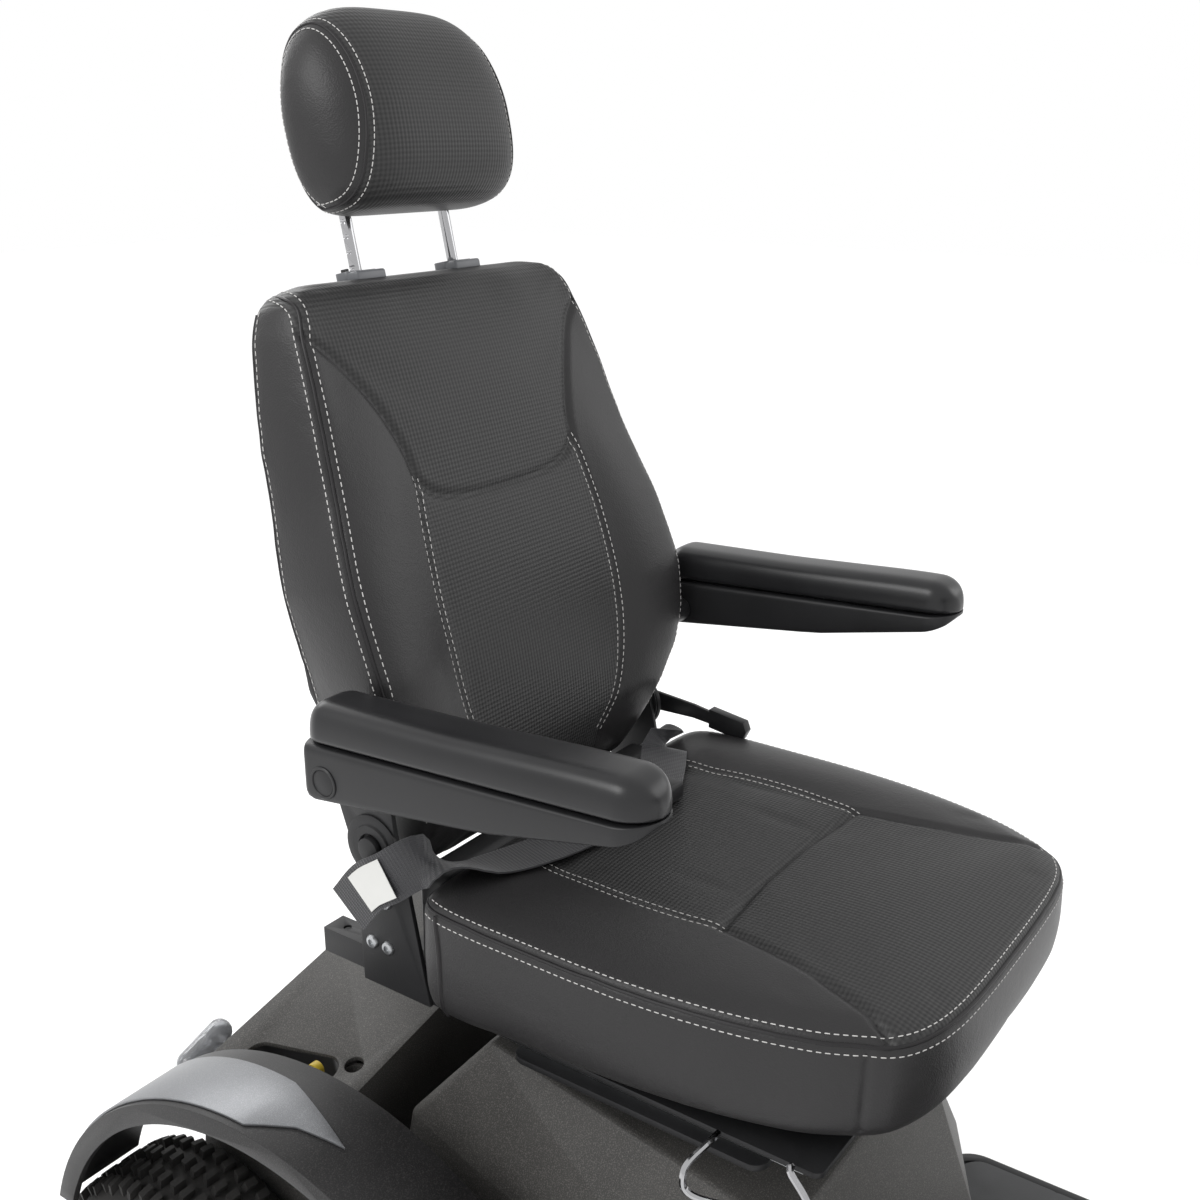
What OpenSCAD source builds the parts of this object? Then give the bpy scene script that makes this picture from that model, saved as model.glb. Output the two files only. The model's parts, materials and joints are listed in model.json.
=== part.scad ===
// Four-wheel powered chair with a padded captain's seat, steered by a tiller.
// +Z is up, the front faces -Y, the rider's left is +X. The origin lies on the floor under the middle.

/* [Wheels] */
// Distance between the front and the rear axle
wheelbase = 1132; // [1080:1:1200]
// Diameter of a rear tyre
rear_tyre_d = 324; // [290:1:332]
// Width of a rear tyre
rear_tyre_w = 134; // [100:1:138]
// Distance from the middle of the chair to the middle of a rear tyre
rear_half_track = 305; // [300:1:330]
// Diameter of a front tyre
front_tyre_d = 270; // [230:1:276]
// Width of a front tyre
front_tyre_w = 100; // [80:1:104]
// Distance from the middle of the chair to the middle of a front tyre
front_half_track = 290; // [286:1:310]
// Diameter of the rear half shafts
half_shaft_d = 25; // [18:1:30]
// Diameter of the front wheel spindles
spindle_d = 20; // [12:1:26]

/* [Base] */
// Height of the foot deck above the floor
deck_top = 200; // [190:1:215]
// Half the width of the foot deck
deck_half_w = 345; // [300:1:360]
// Distance from the middle of the chair to the outside of a bumper
bumper_y = 745; // [742:1:780]
// Outer radius of a fender arch
arch_r = 338; // [330:1:345]
// Distance from the middle of the chair to the outside of a fender
fender_x = 374; // [345:1:400]
// Wall of the moulded covers
cover_wall = 4; // [2.5:0.5:6]
// Length of the freewheel lever's slot
slot_len = 110; // [90:1:125]
// Width of the freewheel lever's slot
slot_w = 36; // [24:1:40]
// Diameter of the cane holder's bore
cane_bore_d = 20; // [14:1:24]

/* [Seat] */
// Length of the seat cushion, front to back
seat_len = 466; // [400:1:470]
// Half the width of the seat cushion
seat_half_w = 240; // [200:1:242]
// Height of the cushion's top above the floor
seat_top = 712; // [690:1:716]
// Diameter of the seat post
post_d = 50; // [40:1:56]
// Height of the back cushion
back_h = 505; // [420:1:600]
// Half the width of the back cushion at its widest
back_half_w = 239; // [228:1:242]
// Lean of the back, in degrees
back_lean = 12; // [8:0.5:15]
// Diameter of the headrest posts
head_post_d = 11; // [9:0.5:14]
// Distance between the headrest posts
head_post_gap = 136; // [110:1:160]
// Half the width of the headrest
head_half_w = 135; // [105:1:150]
// Length of an armrest in front of its pivot
arm_len = 316; // [260:1:340]
// Width of an armrest
arm_w = 60; // [50:1:72]
// Diameter of the armrest pivot pins
arm_pin_d = 16; // [12:1:20]
// Diameter of the recliner pivot bolts
recliner_bolt_d = 16; // [12:1:20]
// Width of the lap belt
belt_w = 48; // [38:1:50]

/* [Tiller] */
// Lean of the tiller towards the rider, in degrees
tiller_lean = 24; // [15:1:28]
// Length of the tiller column above its pivot
column_len = 400; // [340:1:480]
// Distance between the ends of the handlebar
bar_len = 544; // [460:1:600]
// Diameter of the handlebar
bar_d = 22; // [19:1:26]
// Diameter of the steering shaft
stem_d = 28; // [22:1:34]
// Length of the steering arms
steer_arm = 60; // [50:1:66]

/* [Hidden] */
$fn = 48;
e = 0.01;
run_gap = 0.05;    // radial clearance of a shaft that turns
body_gap = 0.4;    // space between faces of pieces that move past each other
RIGHT = -1;
LEFT = 1;

axle_shift = 6;
rear_y = axle_shift + wheelbase / 2;
front_y = axle_shift - wheelbase / 2;
rear_z = rear_tyre_d / 2;
front_z = front_tyre_d / 2;
rear_rim_r = 76;
front_rim_r = 66;

rail_x = 150;
rail_w = 30;
rail_top = deck_top - 28;
rail_h = 42;
rail_rear = rear_y - 92;
plate_t = 8;
axle_tube_r = half_shaft_d / 2 + 9;
pan_t = 22;
tray_t = 8;
king_x = 215;
king_r = 8;
boss_r = 16;
boss_low = front_z - 26;
boss_top = front_z + 26;
arm_plate_t = 10;
stud_r = 5;
head_tube_top = 440;
pivot_z = 548;
collar_z = 20;

arch_y = rear_y - 200;
arch_z = 170;
arch_inner_x = 272;
lip_h = 21;
lip_w = 8;

post_y = 90;
plate_z = 545;
plate_h = 6;
channel_x = 165;
channel_w = 30;
channel_h = 22;
channel_y0 = -70;
channel_len = 380;
pan_z = plate_z + plate_h + channel_h + body_gap + 1;
pan_h = 5;
seat_rear = 296;
seat_front = seat_rear - seat_len;
recl_y = 358;
recl_z = 726;
recl_x = 204;
recl_t = 5;
belt_t = 2;

frame_t = 24;
frame_r = 9.5;
frame_x = 170;
arm_pivot_t = -59;
arm_pivot_h = 100;
arm_in = 244;
arm_pivot_y = recl_y + arm_pivot_t * cos(back_lean) + arm_pivot_h * sin(back_lean);
arm_pivot_z = recl_z - arm_pivot_t * sin(back_lean) + arm_pivot_h * cos(back_lean);

leaf = "#26282a";
iron = "#1d1e20";
steel = "#b9bcc0";
cover = "#4d4a46";
leather = "#2f2f31";
rubber = "#1a1a1b";

// ---------------------------------------------------------------- helpers

module on_side(s) {
    if (s > 0) children();
    else mirror([1, 0, 0]) children();
}

module along_x(x0, x1, r) {
    translate([x0, 0, 0]) rotate([0, 90, 0]) cylinder(r = r, h = x1 - x0);
}

module along_y(y0, y1, r) {
    translate([0, y1, 0]) rotate([90, 0, 0]) cylinder(r = r, h = y1 - y0);
}

module block(x0, x1, y0, y1, z0, z1) {
    translate([x0, y0, z0]) cube([x1 - x0, y1 - y0, z1 - z0]);
}

module soft_rect(x0, x1, y0, y1, r) {
    translate([x0 + r, y0]) square([x1 - x0 - 2 * r, y1 - y0]);
    translate([x0, y0 + r]) square([x1 - x0, y1 - y0 - 2 * r]);
    for (x = [x0 + r, x1 - r], y = [y0 + r, y1 - r]) translate([x, y]) circle(r);
}

module slab(x0, x1, y0, y1, z0, z1, r) {
    translate([0, 0, z0]) linear_extrude(z1 - z0) soft_rect(x0, x1, y0, y1, r);
}

module stadium(len, w) {
    square([w, len - w], center = true);
    for (s = [-1, 1]) translate([0, s * (len - w) / 2]) circle(w / 2);
}

// A profile given as [y, z] points, pushed along X
module side_cut(x0, x1, pts) {
    translate([x0, 0, 0]) rotate([90, 0, 90]) linear_extrude(x1 - x0) polygon(pts);
}

module ball(p, r) {
    translate(p) sphere(r, $fn = 24);
}

module seat_back() {
    translate([0, recl_y, recl_z]) rotate([-back_lean, 0, 0]) children();
}

module tiller() {
    translate([0, front_y, pivot_z]) rotate([-tiller_lean, 0, 0]) children();
}

// ---------------------------------------------------------------- wheels

function tyre_pts(r_out, r_in, w, n = 22) = [for (i = [0:n]) let (a = 180 * i / n)
    [r_in + (r_out - r_in) * pow(sin(a), 0.5), w / 2 * (1 - 0.06 * sin(a)) * cos(a)]];

module tyre(x, y, d, w, rim_r) {
    color(rubber) translate([x, y, d / 2]) rotate([0, 90, 0])
        rotate_extrude($fn = 96) polygon(tyre_pts(d / 2, rim_r, w));
}

// A dished rim with a hub; s is the side that its face looks to
module rim(s, x, y, d, w, rim_r, bore_r, hub_in) {
    disc = w * 0.14;
    color(steel) translate([s * x, y, d / 2]) on_side(s) difference() {
        union() {
            difference() {
                along_x(-w * 0.42, w * 0.42, rim_r);
                along_x(-w, w, rim_r - 7);
            }
            along_x(disc, disc + 8, rim_r - 6);
            along_x(-hub_in, disc + 22, bore_r + 14);
        }
        along_x(-w, w, bore_r);
        for (a = [0:72:359]) rotate([a, 0, 0]) translate([0, rim_r * 0.66, 0]) along_x(0, w, rim_r * 0.15);
    }
}

module half_shaft(s) {
    color(steel) translate([0, rear_y, rear_z]) on_side(s)
        along_x(62, rear_half_track + rear_tyre_w * 0.14 + 24, half_shaft_d / 2);
}

module rear_tyre_right() { tyre(-rear_half_track, rear_y, rear_tyre_d, rear_tyre_w, rear_rim_r); }
module rear_tyre_left() { tyre(rear_half_track, rear_y, rear_tyre_d, rear_tyre_w, rear_rim_r); }
module rear_rim(s) {
    rim(s, rear_half_track, rear_y, rear_tyre_d, rear_tyre_w, rear_rim_r, half_shaft_d / 2, 66);
    half_shaft(s);
}
module rear_rim_right() { rear_rim(RIGHT); }
module rear_rim_left() { rear_rim(LEFT); }
module front_tyre_right() { tyre(-front_half_track, front_y, front_tyre_d, front_tyre_w, front_rim_r); }
module front_tyre_left() { tyre(front_half_track, front_y, front_tyre_d, front_tyre_w, front_rim_r); }
module front_rim(s) {
    rim(s, front_half_track, front_y, front_tyre_d, front_tyre_w, front_rim_r, spindle_d / 2 + run_gap, 36);
}
module front_rim_right() { front_rim(RIGHT); }
module front_rim_left() { front_rim(LEFT); }

// ---------------------------------------------------------------- base

module chassis_frame() {
    color(iron) difference() {
        union() {
            for (s = [-1, 1]) on_side(s) {
                block(rail_x - rail_w / 2, rail_x + rail_w / 2, front_y + 130, rail_rear,
                    rail_top - rail_h, rail_top);
                block(rail_x + rail_w / 2, rail_x + rail_w / 2 + plate_t, rail_rear - 90, rear_y + 38,
                    rear_z - 32, rail_top);
                block(rail_x + rail_w / 2, rail_x + rail_w / 2 + plate_t, rear_y - 38, rear_y + 38,
                    rear_z - 32, rear_z + 32);
                block(rail_x - 12.5, rail_x + 12.5, rail_rear - 27, rail_rear - 2, rail_top, 425);
                translate([king_x, front_y, boss_low]) cylinder(r = boss_r, h = boss_top - boss_low);
            }
            for (y = [front_y + 130, post_y - 15, rail_rear - 30])
                block(-rail_x, rail_x, y, y + 30, rail_top - rail_h, rail_top);
            block(-rail_x, rail_x, rail_rear - 27, rail_rear - 2, 400, 425);
            block(-25, 25, -bumper_y + 18, front_y + 131, rail_top - rail_h, rail_top);
            block(-king_x, king_x, front_y - 14, front_y + 14, front_z - 23, front_z + 7);
            translate([0, front_y, front_z - 23]) cylinder(r = stem_d / 2 + 10,
                h = head_tube_top - front_z + 23);
            translate([0, post_y, rail_top - rail_h]) cylinder(r = post_d / 2 + 7,
                h = 470 - rail_top + rail_h);
        }
        translate([0, front_y, 0]) cylinder(r = stem_d / 2 + run_gap, h = 600);
        translate([0, post_y, 100]) cylinder(r = post_d / 2 + run_gap, h = 500);
        for (s = [-1, 1]) {
            translate([s * king_x, front_y, 0]) cylinder(r = king_r + run_gap, h = 300);
            translate([0, rear_y, rear_z]) on_side(s) along_x(rail_x, rail_x + 40, axle_tube_r);
        }
    }
}

module floor_pan() {
    color(iron) difference() {
        union() {
            slab(-deck_half_w, deck_half_w, front_y + 200, -18, deck_top - pan_t, deck_top, 40);
            slab(-232, 232, -60, rail_rear - 95, deck_top - pan_t, deck_top - pan_t + tray_t, 10);
        }
        translate([0, post_y, 100]) cylinder(r = post_d / 2 + 7 + body_gap, h = 200);
        slab(-deck_half_w + 12, deck_half_w - 12, front_y + 212, -30, deck_top - 3, deck_top + 1, 30);
        translate([0, 0, deck_top - pan_t - 1]) linear_extrude(pan_t - 5)
            for (s = [-1, 1]) translate([s * 262, front_y + 340]) square([110, 230], center = true);
    }
}

module mat_slots() {
    for (s = [-1, 1], i = [0:6]) translate([s * (40 + 42 * i), front_y + 315])
        rotate(s * 32) stadium(150 - 8 * abs(i - 3), 15);
}

module floor_mat() {
    color("#5b5c5e") difference() {
        translate([0, 0, deck_top - 3]) linear_extrude(6) union() {
            soft_rect(-deck_half_w + 14, deck_half_w - 14, front_y + 214, -122, 28);
            for (s = [-1, 1]) on_side(s) soft_rect(256, deck_half_w - 14, -160, -40, 24);
        }
        translate([0, 0, deck_top + 0.5]) linear_extrude(4) mat_slots();
    }
}

// One slice of the rear deck's outline: half the width low down, in the middle and on top
module deck_slice(y, t, xw, zw, xm, zm, xt, zt, low) {
    translate([0, y + t, 0]) rotate([90, 0, 0]) linear_extrude(t)
        polygon([[-xw, low], [-xw, zw], [-xm, zm], [-xt, zt], [xt, zt], [xm, zm], [xw, zw], [xw, low]]);
}

deck_front = 399;
deck_back = 575;
module deck_body(c) {
    hull() {
        deck_slice(deck_front + c, deck_back - deck_front - c, 270 - c, 429 - c, 150 - c / 2, 456 - c,
            60, 478 - c, 385 - (c > 0 ? 20 : 0));
        deck_slice(bumper_y - 34 - c, 5, 178 - c, 262 - c, 120 - c, 285 - c, 40, 296 - c,
            226 - (c > 0 ? 20 : 0));
    }
}

module lens_shape(g) {
    for (s = [-1, 1]) on_side(s) hull() {
        ball([200, 628, 408], 14 + g);
        ball([246, 622, 398], 14 + g);
        ball([196, 664, 352], 12 + g);
        ball([222, 658, 350], 12 + g);
    }
}

slot_x = -221;
slot_y = 490;
slot_turn = 14;
cane_x = -192;
cane_y = 427;
cane_z = 447;
cane_len = 60;
well_x = rear_half_track - rear_tyre_w / 2 - 4;
module rear_deck() {
    color(cover) difference() {
        union() {
            difference() {
                deck_body(0);
                deck_body(cover_wall);
            }
            for (s = [-1, 1]) on_side(s)
                side_cut(well_x - cover_wall, well_x, [[deck_front, 200], [deck_front, 434], [560, 430],
                    [612, 380],
                    [640, 200]]);
            block(-well_x, well_x, deck_front, deck_front + cover_wall, 200, 430);
            translate([cane_x, cane_y, cane_z - cane_len]) cylinder(r = cane_bore_d / 2 + 4,
                h = cane_len - 8);
        }
        translate([slot_x, slot_y, 380]) rotate(slot_turn) linear_extrude(120) stadium(slot_len, slot_w);
        translate([cane_x, cane_y, 300]) cylinder(r = cane_bore_d / 2, h = 200);
        lens_shape(0.2);
    }
}

module lamp_lenses() {
    color("#d8d8d8") {
        lens_shape(0);
        translate([0, 0, 316]) along_y(-bumper_y + 6, -bumper_y + 30, 38);
    }
}

module shroud_body(c) {
    hull() for (s = [-1, 1]) {
        ball([s * (228 - c), -44 + c, 206], 12);
        ball([s * (165 - c), -92 + c, 206], 12);
        ball([s * (228 - c), 352 - c, 206], 12);
        ball([s * (188 - c), 336 - c, 426 - c], 12);
        ball([s * (212 - c), -48 + c, 330 - c], 12);
        ball([s * (140 - c), -96 + c, 300 - c], 12);
        ball([s * (146 - c), 276 - c, 503 - c], 10);
        ball([s * (144 - c), -38 + c, 446 - c], 12);
    }
}

module seat_shroud() {
    color(cover) difference() {
        shroud_body(0);
        difference() {
            shroud_body(cover_wall);
            block(-300, 300, -200, 500, 100, deck_top - 2);
        }
        block(-300, 300, -200, 500, 150, deck_top + body_gap);
        translate([0, post_y, 400]) cylinder(r = post_d / 2 + 5, h = 200);
        block(-216, 216, -30, 330, 190, deck_top + 4);
    }
}

module arch_ring(x0, x1, r0, r1) {
    translate([0, arch_y, arch_z]) difference() {
        along_x(x0, x1, r1, $fn = 180);
        along_x(x0 - 1, x1 + 1, r0, $fn = 180);
    }
}

module fender(s) {
    color(leaf) on_side(s) difference() {
        union() {
            arch_ring(arch_inner_x, fender_x, arch_r - cover_wall, arch_r);
            arch_ring(fender_x - lip_w, fender_x, arch_r - lip_h, arch_r);
            translate([0, arch_y, arch_z]) along_x(arch_inner_x, arch_inner_x + cover_wall, arch_r - 1);
        }
        block(200, 500, -200, 900, -300, deck_top + 3);
        block(200, 500, rear_y, 900, -300, rear_z + 118);
        block(arch_inner_x - 1, arch_inner_x + cover_wall + 1, rear_y - rear_tyre_d / 2 - 22, 900, -300,
            432);
    }
}
module fender_right() { fender(RIGHT); }
module fender_left() { fender(LEFT); }

module fender_trims() {
    color("#a8abaf") for (s = [-1, 1]) on_side(s) intersection() {
        arch_ring(280, fender_x - 6, arch_r + 0.1, arch_r + 3);
        translate([0, 0, 300]) linear_extrude(300)
            polygon([[282, 640], [fender_x - 7, 640], [fender_x - 7, 385], [342, 345], [330, 296], [300,
                390]]);
    }
}

module bumpers() {
    color(iron) {
        slab(-170, 170, -bumper_y, -bumper_y + 18 - e, 140, 196, 8);
        slab(-150, 150, bumper_y - 28, bumper_y, 226, 286, 9);
    }
}

module batteries() {
    color("#303236") for (s = [-1, 1]) on_side(s) {
        slab(14, 168, 134, 338, deck_top - pan_t + tray_t, 366, 6);
        for (y = [170, 300]) translate([90, y, 366]) cylinder(r = 9, h = 12);
    }
}

module controller() {
    color("#8e9296") {
        block(-80, 80, rail_rear - 2, rail_rear + 78, 384, 414);
        for (i = [0:6]) block(-76 + 22 * i, -70 + 22 * i, rail_rear + 4, rail_rear + 72, 414, 424);
    }
}

module transaxle() {
    color("#7c8084") difference() {
        translate([0, rear_y, rear_z]) {
            along_x(-58, 58, 64);
            along_x(-rear_half_track + 76, rear_half_track - 76, axle_tube_r);
            translate([0, 0, 20]) cylinder(r = 50, h = 170);
            translate([0, 0, 190]) cylinder(r = 34, h = 14);
        }
        translate([0, rear_y, rear_z]) for (s = [-1, 1]) on_side(s)
            along_x(60, 400, half_shaft_d / 2 + run_gap);
    }
}

cowl_low = 286;
module cowl_body(c) {
    hull() {
        slab(-328 + c, 328 - c, -735 + c, -385 - c, cowl_low, 312 - c, 60);
        slab(-296 + c, 296 - c, -712 + c, -398 - c, cowl_low, 350 - c, 60);
        slab(-78 + c, 78 - c, front_y - 80 + c, front_y + 68 - c, 400, 496 - c, 34);
    }
}

module front_cowl() {
    color(cover) difference() {
        cowl_body(0);
        cowl_body(cover_wall);
        block(-400, 400, -800, -300, cowl_low - 5, cowl_low + 1);
        translate([0, front_y, 380]) cylinder(r = stem_d / 2 + 8, h = 200);
        translate([0, 0, 316]) along_y(-760, -680, 38.2);
    }
}

tip_r = 36;
tip_y = bumper_y - 40;
tip_z = 58;
module anti_tip_bracket() {
    color(iron) difference() {
        union() {
            for (s = [-1, 1]) on_side(s)
                block(160, 182, rear_y + 38 + e, rear_y + 56, rear_z - 20, rear_z + 20);
            for (s = [-1, 1]) on_side(s)
                side_cut(174, 180, [[rear_y + 50, rear_z + 18], [rear_y + 50, rear_z - 20], [tip_y - 16,
                    tip_z - 6],
                    [tip_y - 8, tip_z - 15], [tip_y + 8, tip_z - 15], [tip_y + 16, tip_z + 4],
                        [rear_y + 76, rear_z + 18]]);
        }
        translate([0, tip_y, tip_z]) along_x(-200, 200, 6 + run_gap);
    }
}

module anti_tip_wheels() {
    color(rubber) translate([0, tip_y, tip_z]) {
        along_x(-184, 184, 6);
        for (s = [-1, 1]) on_side(s) difference() {
            along_x(146, 172, tip_r);
            along_x(140, 148, 20);
        }
    }
}

lever_z = 352;
lever_reach = 104;
module freewheel_lever() {
    color("#a8921f") translate([slot_x + 4, slot_y - 2, lever_z]) rotate([19, 0, 0]) {
        along_x(-5, 5, 13);
        block(-3.5, 3.5, -7, 7, 5, lever_reach - 7);
        translate([0, 0, lever_reach - 7]) along_x(-4.5, 4.5, 8);
        block(-4.5, 4.5, -8, 8, lever_reach - 34, lever_reach - 7);
    }
}

// ---------------------------------------------------------------- steering

module knuckle(s) {
    color(iron) on_side(s) {
        translate([king_x, front_y, 0]) {
            translate([0, 0, boss_low - arm_plate_t - 1]) cylinder(r = king_r,
                h = boss_top - boss_low + 2 * arm_plate_t + 2);
            difference() {
                for (z = [boss_low - arm_plate_t - 0.5, boss_top + 0.5]) {
                    translate([0, 0, z]) cylinder(r = boss_r, h = arm_plate_t);
                    block(0, 32, -15, 15, z, z + arm_plate_t);
                }
                translate([0, 0, 0]) cylinder(r = king_r - e, h = 1);
            }
            block(boss_r + 3, 32, -15, 15, boss_low - 5, boss_top + 5);
            translate([0, 0, front_z]) along_x(30, front_half_track - king_x + 38, spindle_d / 2);
            difference() {
                block(-11, 11, 0, steer_arm + 12, boss_low - arm_plate_t - 0.5, boss_low - 0.5);
                translate([0, steer_arm, 0]) cylinder(r = stud_r + 0.1, h = 200);
            }
        }
    }
}
module knuckle_right() { knuckle(RIGHT); }
module knuckle_left() { knuckle(LEFT); }

arm_low = boss_low - arm_plate_t - 0.5;
module tie_rod() {
    color(steel) translate([0, front_y + steer_arm, 0]) {
        translate([0, 0, arm_low - 10]) along_x(-king_x - 9, king_x + 9, 7);
        for (x = [-king_x, 0, king_x]) translate([x, 0, arm_low - 10]) cylinder(r = stud_r,
            h = 10 + arm_plate_t);
    }
}

ear_in = 20;
ear_t = 8;
module steering_stem() {
    color(iron) translate([0, front_y, 0]) {
        translate([0, 0, arm_low]) cylinder(r = stem_d / 2, h = 508 - arm_low);
        translate([0, 0, head_tube_top + body_gap]) cylinder(r = stem_d / 2 + 7, h = collar_z);
        difference() {
            union() {
                translate([0, 0, arm_low]) cylinder(r = stem_d / 2 + 6, h = arm_plate_t);
                block(-12, 12, 0, steer_arm + 12, arm_low, arm_low + arm_plate_t);
            }
            translate([0, steer_arm, 0]) cylinder(r = stud_r + 0.1, h = 200);
        }
        translate([0, 0, 506]) cylinder(r = ear_in + ear_t + 2, h = 10);
        difference() {
            for (s = [-1, 1]) on_side(s) {
                block(ear_in, ear_in + ear_t, -16, 16, 510, pivot_z);
                translate([0, 0, pivot_z]) along_x(ear_in, ear_in + ear_t, 16);
            }
            translate([0, 0, pivot_z]) along_x(-60, 60, 6 + run_gap);
        }
    }
}

module tiller_column() {
    color(iron) tiller() {
        along_x(-ear_in + body_gap, ear_in - body_gap, 17);
        along_x(-ear_in - ear_t - 3, ear_in + ear_t + 3, 6);
        difference() {
            slab(-17, 17, -17, 17, 8, column_len, 5);
            translate([0, 0, 60]) slab(-14, 14, -14, 14, 0, column_len, 3);
        }
    }
}

head_h = 84;
head_front = -46;
head_back = 40;
bar_z = column_len + 42;
dial_z = column_len + 56;
module tiller_head() {
    color(cover) tiller() difference() {
        slab(-76, 76, head_front, head_back, column_len, column_len + head_h, 16);
        translate([0, 0, bar_z]) along_x(-100, 100, bar_d / 2);
        translate([0, 30, column_len - 1]) cylinder(r = 4 + run_gap, h = 21);
        translate([0, 0, dial_z]) along_y(20, 60, 5 + run_gap);
        translate([46, 0, dial_z]) along_y(20, 60, 4 + run_gap);
        translate([-46, 0, dial_z]) along_y(24, 60, 9 + 0.1);
        for (x = [-30, 30], z = [22, 62]) translate([x, 0, column_len + z]) along_y(head_front - 5,
            head_front + 14, 2.6);
    }
}

module handlebar() {
    color(iron) tiller() translate([0, 0, bar_z]) difference() {
        along_x(-bar_len / 2, bar_len / 2, bar_d / 2);
        for (s = [-1, 1]) on_side(s) along_x(bar_len / 2 - 150, bar_len / 2 + 1, bar_d / 2 - 2);
    }
}

module handlebar_grips() {
    color(rubber) tiller() translate([0, 0, bar_z]) for (s = [-1, 1]) on_side(s) difference() {
        union() {
            along_x(bar_len / 2 - 122, bar_len / 2 + 3, bar_d / 2 + 5);
            along_x(bar_len / 2 - 126, bar_len / 2 - 120, bar_d / 2 + 8);
        }
        along_x(bar_len / 2 - 130, bar_len / 2, bar_d / 2);
    }
}

module throttle_lever() {
    color(iron) tiller() translate([0, 30, column_len]) {
        translate([0, 0, -16]) cylinder(r = 4, h = 34);
        slab(-130, 130, -4, 4, -15, -3, 3);
        for (s = [-1, 1]) on_side(s) slab(84, 132, -6, 10, -17, -2, 5);
    }
}

module speed_knob() {
    color(iron) tiller() translate([0, 0, dial_z]) {
        along_y(24, head_back + 1, 5);
        difference() {
            along_y(head_back + body_gap, head_back + 16, 16);
            for (a = [0:30:359]) rotate([0, a, 0]) translate([17.5, 0, 0]) along_y(head_back + 4,
                head_back + 20, 3);
        }
    }
}

module key() {
    color(steel) tiller() translate([46, 0, dial_z]) {
        along_y(24, head_back + 6, 4);
        slab(-1.5, 1.5, head_back + 4, head_back + 28, -11, 11, 1.2);
    }
}

module horn_button() {
    color("#8c2f24") tiller() translate([-46, 0, dial_z]) along_y(30, head_back + 4, 9);
}

// ---------------------------------------------------------------- seat base

lever_pin = [100, 20];
module swivel_plate() {
    color(iron) difference() {
        union() {
            translate([0, post_y, 300]) cylinder(r = post_d / 2, h = plate_z - 299);
            translate([0, post_y, plate_z - 18]) cylinder(r = post_d / 2 + 22, h = 19);
            slab(-195, 195, post_y - 130, post_y + 130, plate_z, plate_z + plate_h, 14);
        }
        translate([lever_pin[0], lever_pin[1], 500]) cylinder(r = 5 + run_gap, h = 100);
    }
}

module swivel_lever() {
    color(iron) translate([lever_pin[0], lever_pin[1], 0]) {
        translate([0, 0, plate_z - 12]) cylinder(r = 5, h = 12 + plate_h - 1);
        slab(-12, 128, -9, 9, plate_z - 10, plate_z - 4, 6);
        slab(96, 132, -12, 12, plate_z - 15, plate_z - 10 + e, 8);
    }
}

module channel(x) {
    difference() {
        block(x - channel_w / 2, x + channel_w / 2, channel_y0, channel_y0 + channel_len,
            plate_z + plate_h, plate_z + plate_h + channel_h);
        block(x - channel_w / 2 + 3, x + channel_w / 2 - 3, channel_y0 - 1, channel_y0 + channel_len + 1,
            plate_z + plate_h + 3, plate_z + plate_h + channel_h - 3);
        block(x - 7, x + 7, channel_y0 - 1, channel_y0 + channel_len + 1, plate_z + plate_h, pan_z);
    }
}

module slide_rails() {
    color(steel) for (s = [-1, 1]) on_side(s) {
        channel(channel_x);
        block(channel_x - 7, channel_x + 7, channel_y0 + 110, channel_y0 + 250, plate_z + plate_h,
            plate_z + plate_h + 3);
    }
}

receiver_x = 202;
receiver_y = 446;
receiver_w = 26;
receiver_bore = 8.5;
module seat_pan() {
    color(iron) difference() {
        union() {
            slab(-204, 204, -96, 386, pan_z, pan_z + pan_h, 8);
            for (s = [-1, 1]) on_side(s) {
                block(channel_x - 4, channel_x + 4, channel_y0 + 30, channel_y0 + channel_len - 30,
                    plate_z + plate_h + 6, pan_z + 1);
                block(channel_x - 10, channel_x + 10, channel_y0 + 30, channel_y0 + channel_len - 30,
                    plate_z + plate_h + 5, plate_z + plate_h + 15);
                difference() {
                    block(receiver_x - receiver_w, receiver_x, 318, receiver_y, pan_z + pan_h - e,
                        pan_z + pan_h + receiver_w);
                    block(receiver_x - receiver_w + 2.5, receiver_x - 2.5, 350, receiver_y + 1,
                        pan_z + pan_h + 2,
                        pan_z + pan_h + receiver_w - 2.5);
                }
            }
        }
        for (s = [-1, 1]) translate([s * (receiver_x - receiver_w / 2), receiver_y - 20, 500])
            cylinder(r = receiver_bore / 2, h = 200);
        for (x = [-90, 90], y = [0, 200]) translate([x, y, 500]) cylinder(r = 30, h = 200);
    }
}

// The wire bail that frees the slide, at the seat's right
bail_z = pan_z + 8;
bail = [[-210, -8, bail_z], [-226, -8, bail_z + 1], [-251, 0, bail_z - 16], [-247, -10, bail_z - 38],
    [-220, -100, bail_z - 30], [-214, -74, bail_z], [-210, -74, bail_z]];
module slide_release() {
    color(steel) {
        for (i = [0:len(bail) - 2]) hull() {
            translate(bail[i]) sphere(3, $fn = 12);
            translate(bail[i + 1]) sphere(3, $fn = 12);
        }
        translate([-210, 0, bail_z]) along_y(-82, 0, 3.5);
    }
}

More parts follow.
